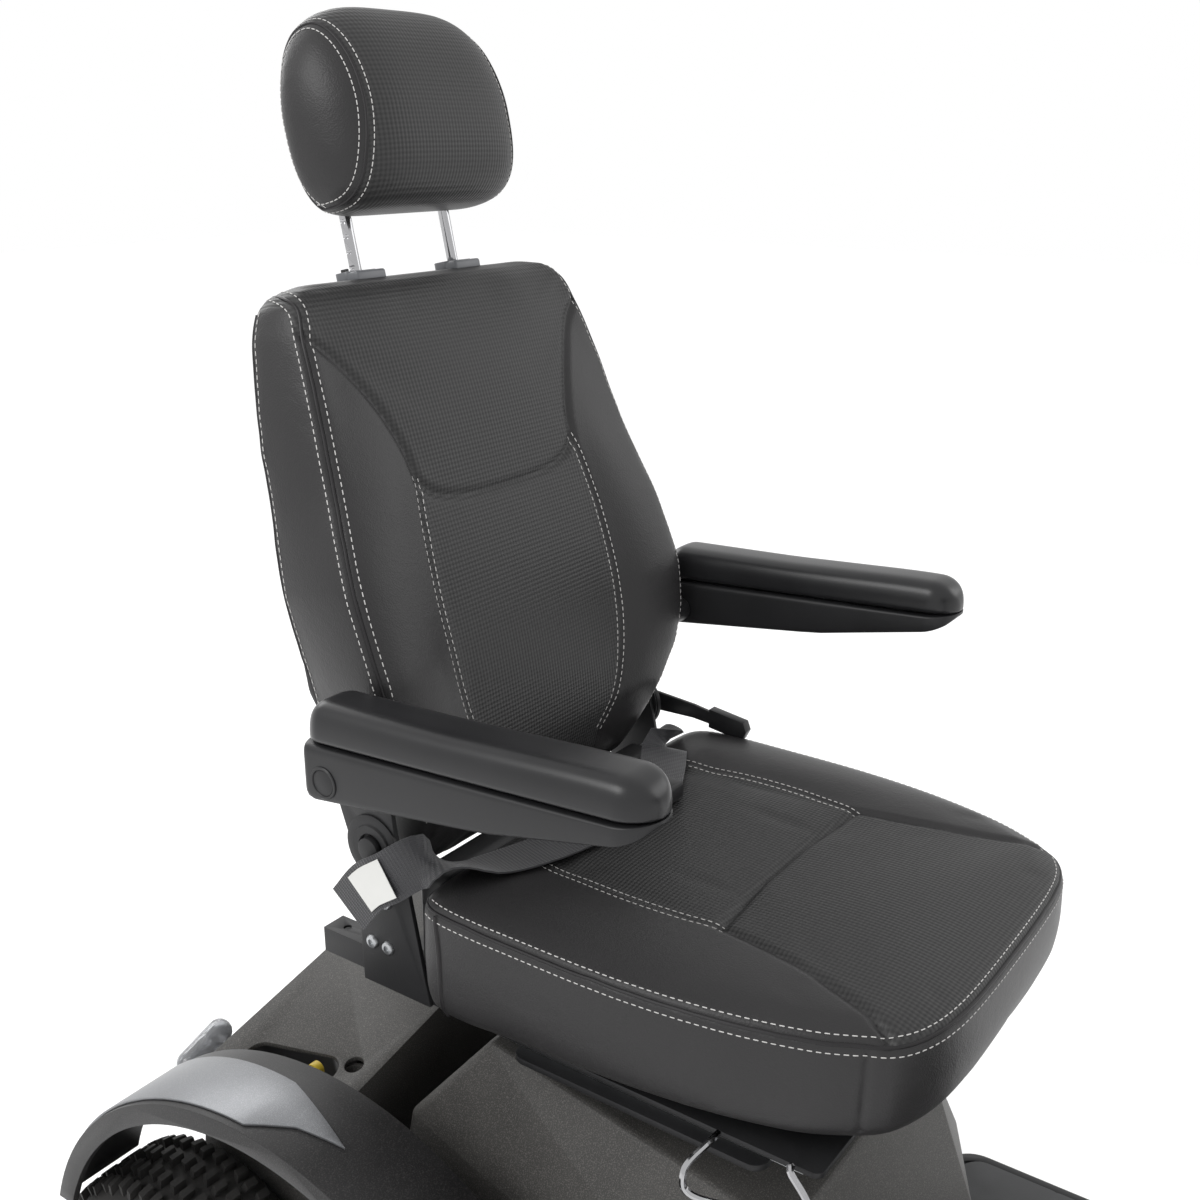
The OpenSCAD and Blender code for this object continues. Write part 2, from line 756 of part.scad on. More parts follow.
module seat_cushion() {
    color(leather) difference() {
        hull() for (s = [-1, 1]) {
            ball([s * (seat_half_w - 30), seat_rear - 30, seat_top - 38], 30);
            ball([s * (seat_half_w - 22), seat_rear - 60, pan_z + pan_h + 24], 22);
            ball([s * (seat_half_w - 32), seat_front + 110, seat_top - 40], 32);
            ball([s * (seat_half_w - 24), seat_front + 110, pan_z + pan_h + 46], 22);
            ball([s * (seat_half_w - 66), seat_front + 46, seat_top - 42], 34);
            ball([s * (seat_half_w - 72), seat_front + 48, pan_z + pan_h + 66], 26);
            ball([s * 80, seat_front + 34, seat_top - 42], 34);
            ball([s * 90, seat_front + 46, pan_z + pan_h + 66], 26);
            ball([s * (seat_half_w - 90), seat_front + 170, seat_top - 30], 30);
            ball([s * (seat_half_w - 90), seat_rear - 60, seat_top - 32], 30);
            translate([s * (seat_half_w - 40), seat_rear - 60, pan_z + pan_h + body_gap])
                cylinder(r = 20, h = 5, $fn = 24);
            translate([s * (seat_half_w - 60), seat_front + 190, pan_z + pan_h + body_gap])
                cylinder(r = 20, h = 5, $fn = 24);
        }
        block(-300, 300, -300, 400, 400, pan_z + pan_h + body_gap);
    }
}

// ---------------------------------------------------------------- recliner and belt

module recliner_plates() {
    color(iron) for (s = [-1, 1]) on_side(s) {
        side_cut(recl_x, recl_x + recl_t, [[302, pan_z], [386, pan_z], [388, recl_z - 10], [380,
            recl_z + 18],
            [360, recl_z + 28], [338, recl_z + 20], [330, recl_z - 6]]);
        translate([0, recl_y, recl_z]) {
            along_x(recl_x, recl_x + recl_t + 12, recliner_bolt_d / 2);
            along_x(recl_x + recl_t + 7, recl_x + recl_t + 14, recliner_bolt_d / 2 + 4);
        }
    }
}

recl_lever_x = recl_x + recl_t + 15;
module recline_lever() {
    color(iron) translate([0, recl_y, recl_z]) {
        along_x(recl_lever_x, recl_lever_x + 5, 15);
        side_cut(recl_lever_x, recl_lever_x + 5, [[0, -11], [0, 13], [-70, 7], [-132, -3], [-132, -15],
            [-70, -9]]);
        side_cut(recl_lever_x - 3, recl_lever_x + 9, [[-92, 8], [-136, 2], [-140, -8], [-134, -20], [-92,
            -14]]);
    }
}

module strap(a, b, w_dir, w) {
    hull() for (p = [a, b], s = [-0.5, 0.5])
        translate(p + s * w * w_dir) cube(belt_t, center = true);
}

belt_z = seat_top + 5.5;
// The lap belt's middle line, from its anchor to the buckle. The right half passes outside the recliner.
belt_right = [[-237, 372, 668], [-237, 330, 712], [-224, 288, belt_z + 22], [-178, 262, belt_z + 4],
    [-60, 225, belt_z]];
belt_left = [[176, 326, 640], [176, 320, 704], [166, 292, belt_z + 2], [60, 225, belt_z]];
across = [0.5, 0.86, 0];

module belt_run(route, edge) {
    for (i = [0:len(route) - 2]) strap(route[i], route[i + 1], edge[i], belt_w);
}

module lap_belt() {
    upright = [0, 0.72, 0.69];
    color("#232324") {
        belt_run(belt_right, [upright, upright, [-0.5, 0.86, 0], [-0.5, 0.86, 0]]);
        belt_run(belt_left, [[1, 0, 0], [1, 0, 0], across]);
    }
}

module belt_buckle() {
    color(iron) difference() {
        translate([0, 216, 0]) slab(-52, 52, -26, 26, belt_z + 2, belt_z + 16, 7);
        translate([0, 216, 0]) slab(-14.2, 14.2, -15.2, 15.2, belt_z + 8, belt_z + 20, 3);
    }
}

module belt_release() {
    color("#7d2420") translate([0, 216, 0]) slab(-14, 14, -15, 15, belt_z + 11, belt_z + 16.5, 3);
}

// ---------------------------------------------------------------- back

plate_x = recl_x + recl_t + body_gap;
module back_frame() {
    color(iron) seat_back() difference() {
        union() {
            for (s = [-1, 1]) on_side(s) {
                translate([frame_x, frame_t, 20]) cylinder(r = frame_r, h = back_h - 85 + frame_r);
                along_x(plate_x, plate_x + recl_t, 30);
                side_cut(plate_x, plate_x + recl_t, [[-28, -6], [28, -6], [36, 60], [28, 84], [-6, 92],
                    [arm_pivot_t - 6, arm_pivot_h + 17], [arm_pivot_t - 17, arm_pivot_h],
                    [arm_pivot_t - 6, arm_pivot_h - 16], [-34, 60]]);
                translate([0, arm_pivot_t, arm_pivot_h]) {
                    along_x(plate_x, arm_in + arm_w - 3, arm_pin_d / 2);
                    along_x(arm_in + arm_w - 4, arm_in + arm_w, 11);
                    along_x(plate_x + recl_t - e, arm_in - body_gap, 14);
                }
            }
            translate([0, frame_t, 56]) along_x(-plate_x - e, plate_x + e, frame_r - 1);
            translate([0, frame_t, back_h - 65]) along_x(-frame_x, frame_x, frame_r - 0.5);
        }
        along_x(-300, 300, recliner_bolt_d / 2 + run_gap);
        for (s = [-1, 1]) translate([s * head_post_gap / 2, frame_t, back_h - 100]) cylinder(r = guide_r,
            h = 100);
    }
}

guide_r = head_post_d / 2 + 2.5;
module headrest_guides() {
    color("#55585c") seat_back() for (s = [-1, 1]) on_side(s) difference() {
        union() {
            translate([head_post_gap / 2, frame_t, back_h - 95]) cylinder(r = guide_r, h = 96);
            slab(head_post_gap / 2 - 20, head_post_gap / 2 + 20, frame_t - 10, frame_t + 11, back_h - 4,
                back_h + 6, 7);
        }
        translate([head_post_gap / 2, frame_t, 0]) cylinder(r = head_post_d / 2 + run_gap, h = 900);
        if (s < 0) block(head_post_gap / 2 + 12, head_post_gap / 2 + 16.4, frame_t - 4, frame_t + 4,
            back_h - 6, back_h + 7);
    }
}

module headrest_button() {
    color(iron) seat_back() block(-head_post_gap / 2 - 16.2, -head_post_gap / 2 - 12.2, frame_t - 3.8,
        frame_t + 3.8,
        back_h - 1, back_h + 9);
}

module backrest_pad() {
    color(leather) seat_back() difference() {
        hull() for (s = [-1, 1]) {
            ball([s * (back_half_w - 96), -24, 37], 28);
            ball([s * (back_half_w - 44), -38, 74], 28);
            ball([s * (back_half_w - 28), -50, 150], 28);
            ball([s * (back_half_w - 28), -20, 140], 28);
            ball([s * (back_half_w - 29), -40, 262], 27);
            ball([s * (back_half_w - 48), -20, back_h * 0.76], 28);
            ball([s * (back_half_w - 66), -10, back_h - 42], 20);
            ball([s * (back_half_w - 70), -6, back_h - 20], 17);
        }
        for (s = [-1, 1]) on_side(s) block(plate_x - 1, plate_x + recl_t + 1, -200, 60, -20, 130);
        for (s = [-1, 1]) on_side(s) translate([0, arm_pivot_t, arm_pivot_h]) along_x(plate_x, 300, 15);
    }
}

module back_shell() {
    color(leaf) seat_back() difference() {
        hull() for (s = [-1, 1]) {
            translate([s * (back_half_w - 74), 0, 54]) along_y(frame_t + 12, frame_t + 22, 34, $fn = 32);
            translate([s * (back_half_w - 32), 0, 150]) along_y(frame_t + 12, frame_t + 20, 26, $fn = 32);
            translate([s * (back_half_w - 36), 0, 262]) along_y(frame_t + 12, frame_t + 20, 28, $fn = 32);
            translate([s * (back_half_w - 80), 0, back_h - 34]) along_y(frame_t + 12, frame_t + 18, 30,
                $fn = 32);
        }
        for (s = [-1, 1]) translate([s * 110, 0, 120]) along_y(frame_t, frame_t + 40, 3);
    }
}

module headrest_posts() {
    color("#d9dadc") seat_back() difference() {
        union() {
            for (s = [-1, 1]) on_side(s)
                translate([head_post_gap / 2, frame_t, back_h - 130]) cylinder(r = head_post_d / 2,
                    h = 236);
            translate([0, frame_t, back_h + 106]) along_x(-head_post_gap / 2, head_post_gap / 2,
                head_post_d / 2);
        }
        for (i = [0:3]) translate([-head_post_gap / 2 - head_post_d / 2, frame_t, back_h + 10 + 14 * i])
            along_y(-10, 10, 1.6);
    }
}

head_low = back_h + 53;
module headrest_pad() {
    color(leather) seat_back() difference() {
        hull() for (s = [-1, 1]) {
            ball([s * (head_half_w - 50), 14, head_low + 44], 40);
            ball([s * (head_half_w - 42), 2, head_low + 84], 42);
            ball([s * (head_half_w - 44), -8, head_low + 108], 42);
            ball([s * (head_half_w - 72), -16, head_low + 142], 38);
            ball([s * (head_half_w - 60), -4, head_low + 50], 38);
        }
        for (s = [-1, 1]) translate([s * head_post_gap / 2, frame_t, head_low - 20])
            cylinder(r = head_post_d / 2 + run_gap, h = 78);
        translate([0, frame_t, back_h + 106]) {
            along_x(-head_post_gap / 2 - head_post_d / 2, head_post_gap / 2 + head_post_d / 2,
                head_post_d / 2 + run_gap);
        }
    }
}

// ---------------------------------------------------------------- armrests

arm_tip = arm_pivot_y - arm_len;
arm_back = arm_pivot_y + 29;
part_back = arm_pivot_z + 30;
part_tip = part_back + 20;
module arm_shell(s) {
    color(iron) on_side(s) difference() {
        side_cut(arm_in + 1, arm_in + arm_w - 0.5, [[arm_back, part_back], [arm_back, arm_pivot_z - 14],
            [arm_back - 14, arm_pivot_z - 21], [arm_tip + arm_len * 0.47, arm_pivot_z + 3],
            [arm_tip + 10, part_tip - 15], [arm_tip + 2, part_tip - 7], [arm_tip + 2, part_tip]]);
        side_cut(arm_in + 5, arm_in + arm_w - 4.5, [[arm_back - 60, part_back + 4],
            [arm_back - 60, arm_pivot_z - 8], [arm_tip + arm_len * 0.47, arm_pivot_z + 8],
            [arm_tip + 16, part_tip - 10], [arm_tip + 16, part_tip + 4]]);
        translate([0, arm_pivot_y, arm_pivot_z]) {
            along_x(200, 400, arm_pin_d / 2 + run_gap);
            along_x(arm_in + arm_w - 4 - body_gap, 400, 11 + run_gap);
        }
    }
}
module arm_shell_right() { arm_shell(RIGHT); }
module arm_shell_left() { arm_shell(LEFT); }

module arm_pad(s) {
    color("#131314") on_side(s) hull() {
        for (x = [arm_in + 14, arm_in + arm_w - 14]) {
            ball([x, arm_back - 16, part_back + 22], 13);
            ball([x, arm_tip + 16, part_tip + 14], 12);
            ball([x, arm_tip + arm_len * 0.5, part_tip + 10], 13);
            translate([x, arm_tip + 14, part_tip + 0.3]) cylinder(r = 14, h = 2, $fn = 24);
            translate([x, arm_back - 15, part_back + 2.4]) cylinder(r = 14, h = 2, $fn = 24);
        }
    }
}
module arm_pad_right() { arm_pad(RIGHT); }
module arm_pad_left() { arm_pad(LEFT); }

chassis_frame();
floor_pan();
floor_mat();
rear_deck();
seat_shroud();
fender_right();
fender_left();
fender_trims();
lamp_lenses();
bumpers();
batteries();
controller();
transaxle();
front_cowl();
anti_tip_bracket();
anti_tip_wheels();
freewheel_lever();
rear_tyre_right();
rear_tyre_left();
rear_rim_right();
rear_rim_left();
front_tyre_right();
front_tyre_left();
front_rim_right();
front_rim_left();
knuckle_right();
knuckle_left();
tie_rod();
steering_stem();
tiller_column();
tiller_head();
handlebar();
handlebar_grips();
throttle_lever();
speed_knob();
key();
horn_button();
swivel_plate();
swivel_lever();
slide_rails();
seat_pan();
slide_release();
seat_cushion();
recliner_plates();
recline_lever();
lap_belt();
belt_buckle();
belt_release();
back_frame();
back_shell();
backrest_pad();
headrest_guides();
headrest_button();
headrest_posts();
headrest_pad();
arm_shell_right();
arm_shell_left();
arm_pad_right();
arm_pad_left();
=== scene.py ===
# %% [markdown]
# # A powered chair, finished piece by piece
# The frame that is loaded here was made as solid parts with real sizes. This lesson gives it its surfaces:
# padded leather, stitches, belts, moulded covers, tyres and metal. Every new piece is placed by the sizes
# of the solid part it stands for, so nothing has to be fitted by eye.

# %% Load the frame
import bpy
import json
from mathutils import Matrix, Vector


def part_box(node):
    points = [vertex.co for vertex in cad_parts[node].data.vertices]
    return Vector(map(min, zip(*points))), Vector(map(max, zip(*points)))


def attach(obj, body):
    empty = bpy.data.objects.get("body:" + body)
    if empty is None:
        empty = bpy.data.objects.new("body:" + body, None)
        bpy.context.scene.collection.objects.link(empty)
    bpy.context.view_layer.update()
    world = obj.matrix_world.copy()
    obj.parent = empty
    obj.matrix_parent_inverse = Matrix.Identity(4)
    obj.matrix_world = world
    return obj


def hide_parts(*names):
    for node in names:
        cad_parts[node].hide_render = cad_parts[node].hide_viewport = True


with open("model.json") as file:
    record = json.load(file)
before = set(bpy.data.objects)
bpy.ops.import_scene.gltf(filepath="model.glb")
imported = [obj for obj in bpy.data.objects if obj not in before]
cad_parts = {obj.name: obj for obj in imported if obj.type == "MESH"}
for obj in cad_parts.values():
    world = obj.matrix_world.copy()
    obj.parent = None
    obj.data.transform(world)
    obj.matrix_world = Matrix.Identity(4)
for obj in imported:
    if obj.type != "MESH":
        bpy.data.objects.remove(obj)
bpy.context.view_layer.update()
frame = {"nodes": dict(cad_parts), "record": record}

import json
import math
import bpy
import numpy as np
from mathutils import Matrix, Vector
from mathutils.bvhtree import BVHTree
from mathutils.kdtree import KDTree

bodies_of = {n: b for b, names in frame["record"]["behaviour"]["bodies"].items() for n in names}

# %% [markdown]
# ## Small tools
# The sizes below are written in millimetres, as a maker would read them off a drawing, and `mm` turns them
# into Blender's metres. The back leans by 12 degrees and the tiller by 24, so two helpers turn a point
# given along the leaning part into a point of the room.

# %% Places and selection
MM = 0.001
BACK_LEAN = math.radians(12)
TILLER_LEAN = math.radians(24)

def mm(x, y, z):
    return Vector((x, y, z)) * MM

def on_back(x, t, h):
    """across, through (front is negative) and up the leaning back, in mm"""
    c, s = math.cos(BACK_LEAN), math.sin(BACK_LEAN)
    return mm(x, 358 + t * c + h * s, 726 - t * s + h * c)

def on_tiller(x, t, h):
    c, s = math.cos(TILLER_LEAN), math.sin(TILLER_LEAN)
    return mm(x, -560 + t * c + h * s, 548 - t * s + h * c)

def pick(*objs):
    bpy.ops.object.select_all(action="DESELECT")
    for o in objs:
        o.select_set(True)
    bpy.context.view_layer.objects.active = objs[0]

def apply_modifiers(o):
    pick(o)
    for m in list(o.modifiers):
        bpy.ops.object.modifier_apply(modifier=m.name)

def settle(o, name):
    """names the piece and moves its place into its mesh"""
    o.name = name
    o.data.name = name
    pick(o)
    bpy.ops.object.transform_apply(location=True, rotation=True, scale=True)
    return o

def dress(o, body, slot, mat, *nodes, angle=35):
    """material, smooth shading, the body it rides on and the solid parts it stands for"""
    o.data.materials.clear()
    o.data.materials.append(mat)
    pick(o)
    bpy.ops.object.shade_smooth_by_angle(angle=math.radians(angle))
    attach(o, body)
    if nodes:
        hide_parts(*nodes)
    return o

def mesh_piece(name, verts, faces):
    me = bpy.data.meshes.new(name)
    me.from_pydata([tuple(v) for v in verts], [], [tuple(f) for f in faces])
    me.validate()
    me.update()
    o = bpy.data.objects.new(name, me)
    bpy.context.scene.collection.objects.link(o)
    return o

print("helpers ready")

# %% [markdown]
# ## Camera
# The chair is seen from its right front, from above: the camera stands 1.34 m up and looks down by 18.5
# degrees.

# %% Camera
camera = bpy.data.objects.new("camera", bpy.data.cameras.new("camera"))
bpy.context.scene.collection.objects.link(camera)
camera.location = (-1.02064, -0.46723, 1.34364)
camera.rotation_euler = (math.radians(71.4853), 0, math.radians(-54.618))
camera.data.lens = 41.907
camera.data.sensor_width = 36
camera.data.clip_start = 0.05
bpy.context.scene.camera = camera
print("camera at", tuple(camera.location))

# %% [markdown]
# ## Finishes
# Each finish is a Principled shader with its own nodes. A noise mottles the colour, another one changes the
# roughness, and a bump gives the grain. They read Object coordinates, so the grain has the same real size
# on every piece.

# %% Shader builder
def finish(name, colour, rough, metal=0.0, mottle=0.12, mottle_scale=14, grain=(700, 0.25, 0.0002),
           rough_vary=0.06, voronoi=False, **sockets):
    mat = bpy.data.materials.new(name)
    mat.use_nodes = True
    nodes, links = mat.node_tree.nodes, mat.node_tree.links
    shader = nodes["Principled BSDF"]
    shader.inputs["Metallic"].default_value = metal
    for key, value in sockets.items():
        shader.inputs[key.replace("_", " ")].default_value = value
    coords = nodes.new("ShaderNodeTexCoord").outputs["Object"]
    cloud = nodes.new("ShaderNodeTexNoise")
    cloud.inputs["Scale"].default_value = mottle_scale
    cloud.inputs["Detail"].default_value = 6
    links.new(coords, cloud.inputs["Vector"])
    ramp = nodes.new("ShaderNodeValToRGB")
    for i, k in enumerate((1 - mottle, 1 + mottle)):
        ramp.color_ramp.elements[i].color = (*[min(1, c * k) for c in colour], 1)
    ramp.color_ramp.elements[0].position = 0.35
    ramp.color_ramp.elements[1].position = 0.65
    links.new(cloud.outputs["Fac"], ramp.inputs["Fac"])
    links.new(ramp.outputs["Color"], shader.inputs["Base Color"])
    worn = nodes.new("ShaderNodeMapRange")
    worn.inputs["To Min"].default_value = max(0.02, rough - rough_vary)
    worn.inputs["To Max"].default_value = min(1, rough + rough_vary)
    links.new(cloud.outputs["Fac"], worn.inputs["Value"])
    links.new(worn.outputs["Result"], shader.inputs["Roughness"])
    scale, strength, depth = grain
    tex = nodes.new("ShaderNodeTexVoronoi" if voronoi else "ShaderNodeTexNoise")
    tex.inputs["Scale"].default_value = scale
    links.new(coords, tex.inputs["Vector"])
    bump = nodes.new("ShaderNodeBump")
    bump.inputs["Strength"].default_value = strength
    bump.inputs["Distance"].default_value = depth
    links.new(tex.outputs["Distance" if voronoi else "Fac"], bump.inputs["Height"])
    links.new(bump.outputs["Normal"], shader.inputs["Normal"])
    return mat

# %% [markdown]
# The moulded covers are a grey-brown plastic with a fine sparkle of lighter specks. The specks are a
# second, very fine noise that is mixed over the cloud of the colour.

# %% Speckled plastic
def add_specks(mat, scale, light, amount):
    nodes, links = mat.node_tree.nodes, mat.node_tree.links
    shader = nodes["Principled BSDF"]
    base = shader.inputs["Base Color"].links[0].from_socket
    coords = nodes.new("ShaderNodeTexCoord").outputs["Object"]
    fine = nodes.new("ShaderNodeTexNoise")
    fine.inputs["Scale"].default_value = scale
    fine.inputs["Detail"].default_value = 3
    links.new(coords, fine.inputs["Vector"])
    cut = nodes.new("ShaderNodeMapRange")
    cut.inputs["From Min"].default_value = 0.5
    cut.inputs["From Max"].default_value = 0.68
    cut.inputs["To Max"].default_value = amount
    links.new(fine.outputs["Fac"], cut.inputs["Value"])
    mix = nodes.new("ShaderNodeMix")
    mix.data_type = "RGBA"
    mix.inputs["B"].default_value = (*light, 1)
    links.new(cut.outputs["Result"], mix.inputs["Factor"])
    links.new(base, mix.inputs["A"])
    links.new(mix.outputs["Result"], shader.inputs["Base Color"])

moulded_cover = finish("moulded_cover", (0.046, 0.0445, 0.042), 0.5, grain=(1300, 0.5, 0.0002), mottle=0.16)
add_specks(moulded_cover, 900, (0.17, 0.16, 0.15), 0.55)
fender_plastic = finish("fender_plastic", (0.013, 0.0127, 0.013), 0.42, grain=(1100, 0.4, 0.0002), mottle=0.2)
add_specks(fender_plastic, 800, (0.07, 0.065, 0.065), 0.4)
silver_trim = finish("silver_trim", (0.2, 0.205, 0.215), 0.4,
    metal=0.75, grain=(1600, 0.25, 0.0001), mottle=0.1)
add_specks(silver_trim, 1300, (0.5, 0.5, 0.5), 0.35)
satin_black = finish("satin_black", (0.013, 0.013, 0.014), 0.4, grain=(900, 0.35, 0.0002))
powder_coat = finish("powder_coat", (0.016, 0.016, 0.017), 0.46, grain=(500, 0.4, 0.0003))
arm_skin = finish("arm_skin", (0.011, 0.011, 0.012), 0.3, grain=(1400, 0.3, 0.00015), rough_vary=0.04)
tyre_rubber = finish("tyre_rubber", (0.022, 0.021, 0.02), 0.78,
    grain=(420, 0.5, 0.0005), mottle=0.3, mottle_scale=30)
soft_rubber = finish("soft_rubber", (0.014, 0.014, 0.014), 0.7, grain=(600, 0.4, 0.0003))
chrome = finish("chrome", (0.4, 0.4, 0.41), 0.12,
    metal=1.0, mottle=0.03, grain=(40, 0.03, 0.0002), rough_vary=0.02)
zinc = finish("zinc", (0.42, 0.43, 0.44), 0.34,
    metal=1.0, mottle=0.14, mottle_scale=60, grain=(260, 0.2, 0.0002))
cast_alloy = finish("cast_alloy", (0.36, 0.37, 0.38), 0.42, metal=0.9, mottle=0.1, grain=(800, 0.3, 0.0003))
lever_paint = finish("lever_paint", (0.46, 0.33, 0.025), 0.4, mottle=0.18, mottle_scale=60)
button_red = finish("button_red", (0.34, 0.03, 0.02), 0.35)
guide_grey = finish("guide_grey", (0.13, 0.135, 0.145), 0.38, grain=(900, 0.3, 0.0002))
battery_case = finish("battery_case", (0.05, 0.052, 0.056), 0.55, grain=(500, 0.4, 0.0003))
mat_rubber = finish("mat_rubber", (0.05, 0.051, 0.053), 0.66, grain=(900, 0.6, 0.0003), mottle=0.18)
clear_lens = finish("clear_lens", (0.5, 0.51, 0.53), 0.12, mottle=0.03, grain=(90, 0.1, 0.0005),
    rough_vary=0.03, Transmission_Weight=0.75, IOR=1.49)
thread = finish("thread", (0.5, 0.49, 0.48), 0.65, mottle=0.06, grain=(2500, 0.5, 0.0001))
welt = finish("welt", (0.014, 0.013, 0.014), 0.4, grain=(1500, 0.3, 0.0001))
print("plain finishes:", len(bpy.data.materials))

# %% [markdown]
# ## Upholstery leather
# The covers are sewn from two leathers. The middle panels have an embossed pattern of small staggered dots,
# and the bolsters and sides are smooth with a fine grain and soft creases. One shader makes both: an
# attribute called `woven` holds how far a point lies inside the embossed panel, so the border follows the
# sewn seam. The dots are the sum of two sine waves, laid across the panel.

# %% Leather shader
def leather(name, lean):
    mat = bpy.data.materials.new(name)
    mat.use_nodes = True
    nodes, links = mat.node_tree.nodes, mat.node_tree.links
    shader = nodes["Principled BSDF"]

    def node(kind, **values):
        n = nodes.new("ShaderNode" + kind)
        for key, value in values.items():
            if key[0].isupper():
                n.inputs[key.replace("_", " ")].default_value = value
            else:
                setattr(n, key, value)
        return n

    def math_of(op, a, b):
        n = node("Math", operation=op)
        for i, v in enumerate((a, b)):
            if isinstance(v, (int, float)):
                n.inputs[i].default_value = v
            else:
                links.new(v, n.inputs[i])
        return n.outputs[0]

    coords = node("TexCoord").outputs["Object"]
    turned = node("Mapping")
    turned.inputs["Rotation"].default_value = (lean, 0, 0)
    links.new(coords, turned.inputs["Vector"])
    axes = node("SeparateXYZ")
    links.new(turned.outputs["Vector"], axes.inputs[0])
    pitch = 2 * math.pi / 0.0042
    along = axes.outputs["Z"] if lean else axes.outputs["Y"]
    wave_a = math_of("SINE", math_of("MULTIPLY", axes.outputs["X"], pitch), 0)
    wave_b = math_of("SINE", math_of("MULTIPLY", along, pitch), 0)
    dots = math_of("MULTIPLY", math_of("ADD", wave_a, wave_b), 0.4)
    inside = node("Attribute", attribute_name="woven")
    panel = node("MapRange", From_Min=-0.0006, From_Max=0.0006)
    links.new(inside.outputs["Fac"], panel.inputs["Value"])
    panel = panel.outputs["Result"]

    pores = node("TexVoronoi", Scale=620.0, Randomness=1.0)
    links.new(coords, pores.inputs["Vector"])
    creases = node("TexNoise", Scale=75.0, Detail=7.0, Roughness=0.62, Distortion=1.4)
    links.new(coords, creases.inputs["Vector"])
    grain = math_of("ADD", math_of("MULTIPLY", pores.outputs["Distance"], 0.45), creases.outputs["Fac"])
    height = node("Mix", data_type="FLOAT")
    links.new(panel, height.inputs["Factor"])
    links.new(grain, height.inputs["A"])
    links.new(dots, height.inputs["B"])
    bump = node("Bump", Strength=0.6, Distance=0.0005)
    links.new(height.outputs["Result"], bump.inputs["Height"])
    links.new(bump.outputs["Normal"], shader.inputs["Normal"])

    cloud = node("TexNoise", Scale=9.0, Detail=5.0)
    links.new(coords, cloud.inputs["Vector"])
    smooth_side = node("ValToRGB")
    smooth_side.color_ramp.elements[0].color = (0.017, 0.0165, 0.017, 1)
    smooth_side.color_ramp.elements[1].color = (0.027, 0.0262, 0.027, 1)
    links.new(cloud.outputs["Fac"], smooth_side.inputs["Fac"])
    dotted_side = node("ValToRGB")
    dotted_side.color_ramp.elements[0].color = (0.015, 0.015, 0.0155, 1)
    dotted_side.color_ramp.elements[1].color = (0.04, 0.0395, 0.0395, 1)
    links.new(math_of("ADD", math_of("MULTIPLY", dots, 0.5), 0.5), dotted_side.inputs["Fac"])
    colour = node("Mix", data_type="RGBA")
    links.new(panel, colour.inputs["Factor"])
    links.new(smooth_side.outputs["Color"], colour.inputs["A"])
    links.new(dotted_side.outputs["Color"], colour.inputs["B"])
    links.new(colour.outputs["Result"], shader.inputs["Base Color"])

    shine = node("MapRange", To_Min=0.36, To_Max=0.5)
    links.new(math_of("ADD", math_of("MULTIPLY", cloud.outputs["Fac"], 0.5), math_of("MULTIPLY", panel, 0.5)),
        shine.inputs["Value"])
    links.new(shine.outputs["Result"], shader.inputs["Roughness"])
    return mat

seat_leather = leather("seat_leather", 0)
back_leather = leather("back_leather", BACK_LEAN)
for mat, level in ((seat_leather, 0.3), (back_leather, 0.3), (fender_plastic, 0.3), (satin_black, 0.35),
                   (powder_coat, 0.3), (moulded_cover, 0.3), (arm_skin, 0.4), (welt, 0.3)):
    mat.node_tree.nodes["Principled BSDF"].inputs["Specular IOR Level"].default_value = level
print("leathers ready")

# %% [markdown]
# ## Webbing
# Belt webbing is woven across its length. The strap's own UV map runs in millimetres, so two sine waves
# give the ribs: a fine one across and a coarser one along the edges.

# %% Webbing shader
def webbing_shader():
    mat = finish("webbing_weave", (0.014, 0.014, 0.017), 0.5, mottle=0.15, Sheen_Weight=0.25)
    nodes, links = mat.node_tree.nodes, mat.node_tree.links
    uv = nodes.new("ShaderNodeTexCoord").outputs["UV"]
    waves = []
    for direction, scale in (("X", 0.16), ("Y", 0.09)):
        w = nodes.new("ShaderNodeTexWave")
        w.bands_direction = direction
        w.inputs["Scale"].default_value = scale
        links.new(uv, w.inputs["Vector"])
        waves.append(w)
    both = nodes.new("ShaderNodeMath")
    both.operation = "MULTIPLY"
    for i, w in enumerate(waves):
        links.new(w.outputs["Fac"], both.inputs[i])
    bump = nodes.new("ShaderNodeBump")
    bump.inputs["Strength"].default_value = 0.8
    bump.inputs["Distance"].default_value = 0.0005
    links.new(both.outputs[0], bump.inputs["Height"])
    links.new(bump.outputs["Normal"], nodes["Principled BSDF"].inputs["Normal"])
    return mat

webbing_weave = webbing_shader()

# %% [markdown]
# ## The solid parts that stay
# The covers, plates and brackets already have their real shape. A moulding or a pressed plate never has a
# knife edge, though, so each one is copied, its doubled points are merged, its flat faces are joined, and
# its sharp edges get a small bevel that catches the light.

# %% Round the edges of a solid part
def rounded(node, slot, mat, width=0.8, angle=32, segments=2):
    source = frame["nodes"][node]
    o = bpy.data.objects.new(node + "_finished", source.data.copy())
    bpy.context.scene.collection.objects.link(o)
    pick(o)
    if o.data.has_custom_normals:
        bpy.ops.mesh.customdata_custom_splitnormals_clear()
    bpy.ops.object.mode_set(mode="EDIT")
    bpy.ops.mesh.select_all(action="SELECT")
    bpy.ops.mesh.remove_doubles(threshold=0.00002)
    bpy.ops.mesh.dissolve_limited(angle_limit=math.radians(0.6))
    bpy.ops.object.mode_set(mode="OBJECT")
    if width:
        edge = o.modifiers.new("edge", "BEVEL")
        edge.width = width * MM
        edge.segments = segments
        edge.limit_method = "ANGLE"
        edge.angle_limit = math.radians(angle)
        apply_modifiers(o)
    return dress(o, bodies_of[node], slot, mat, node)

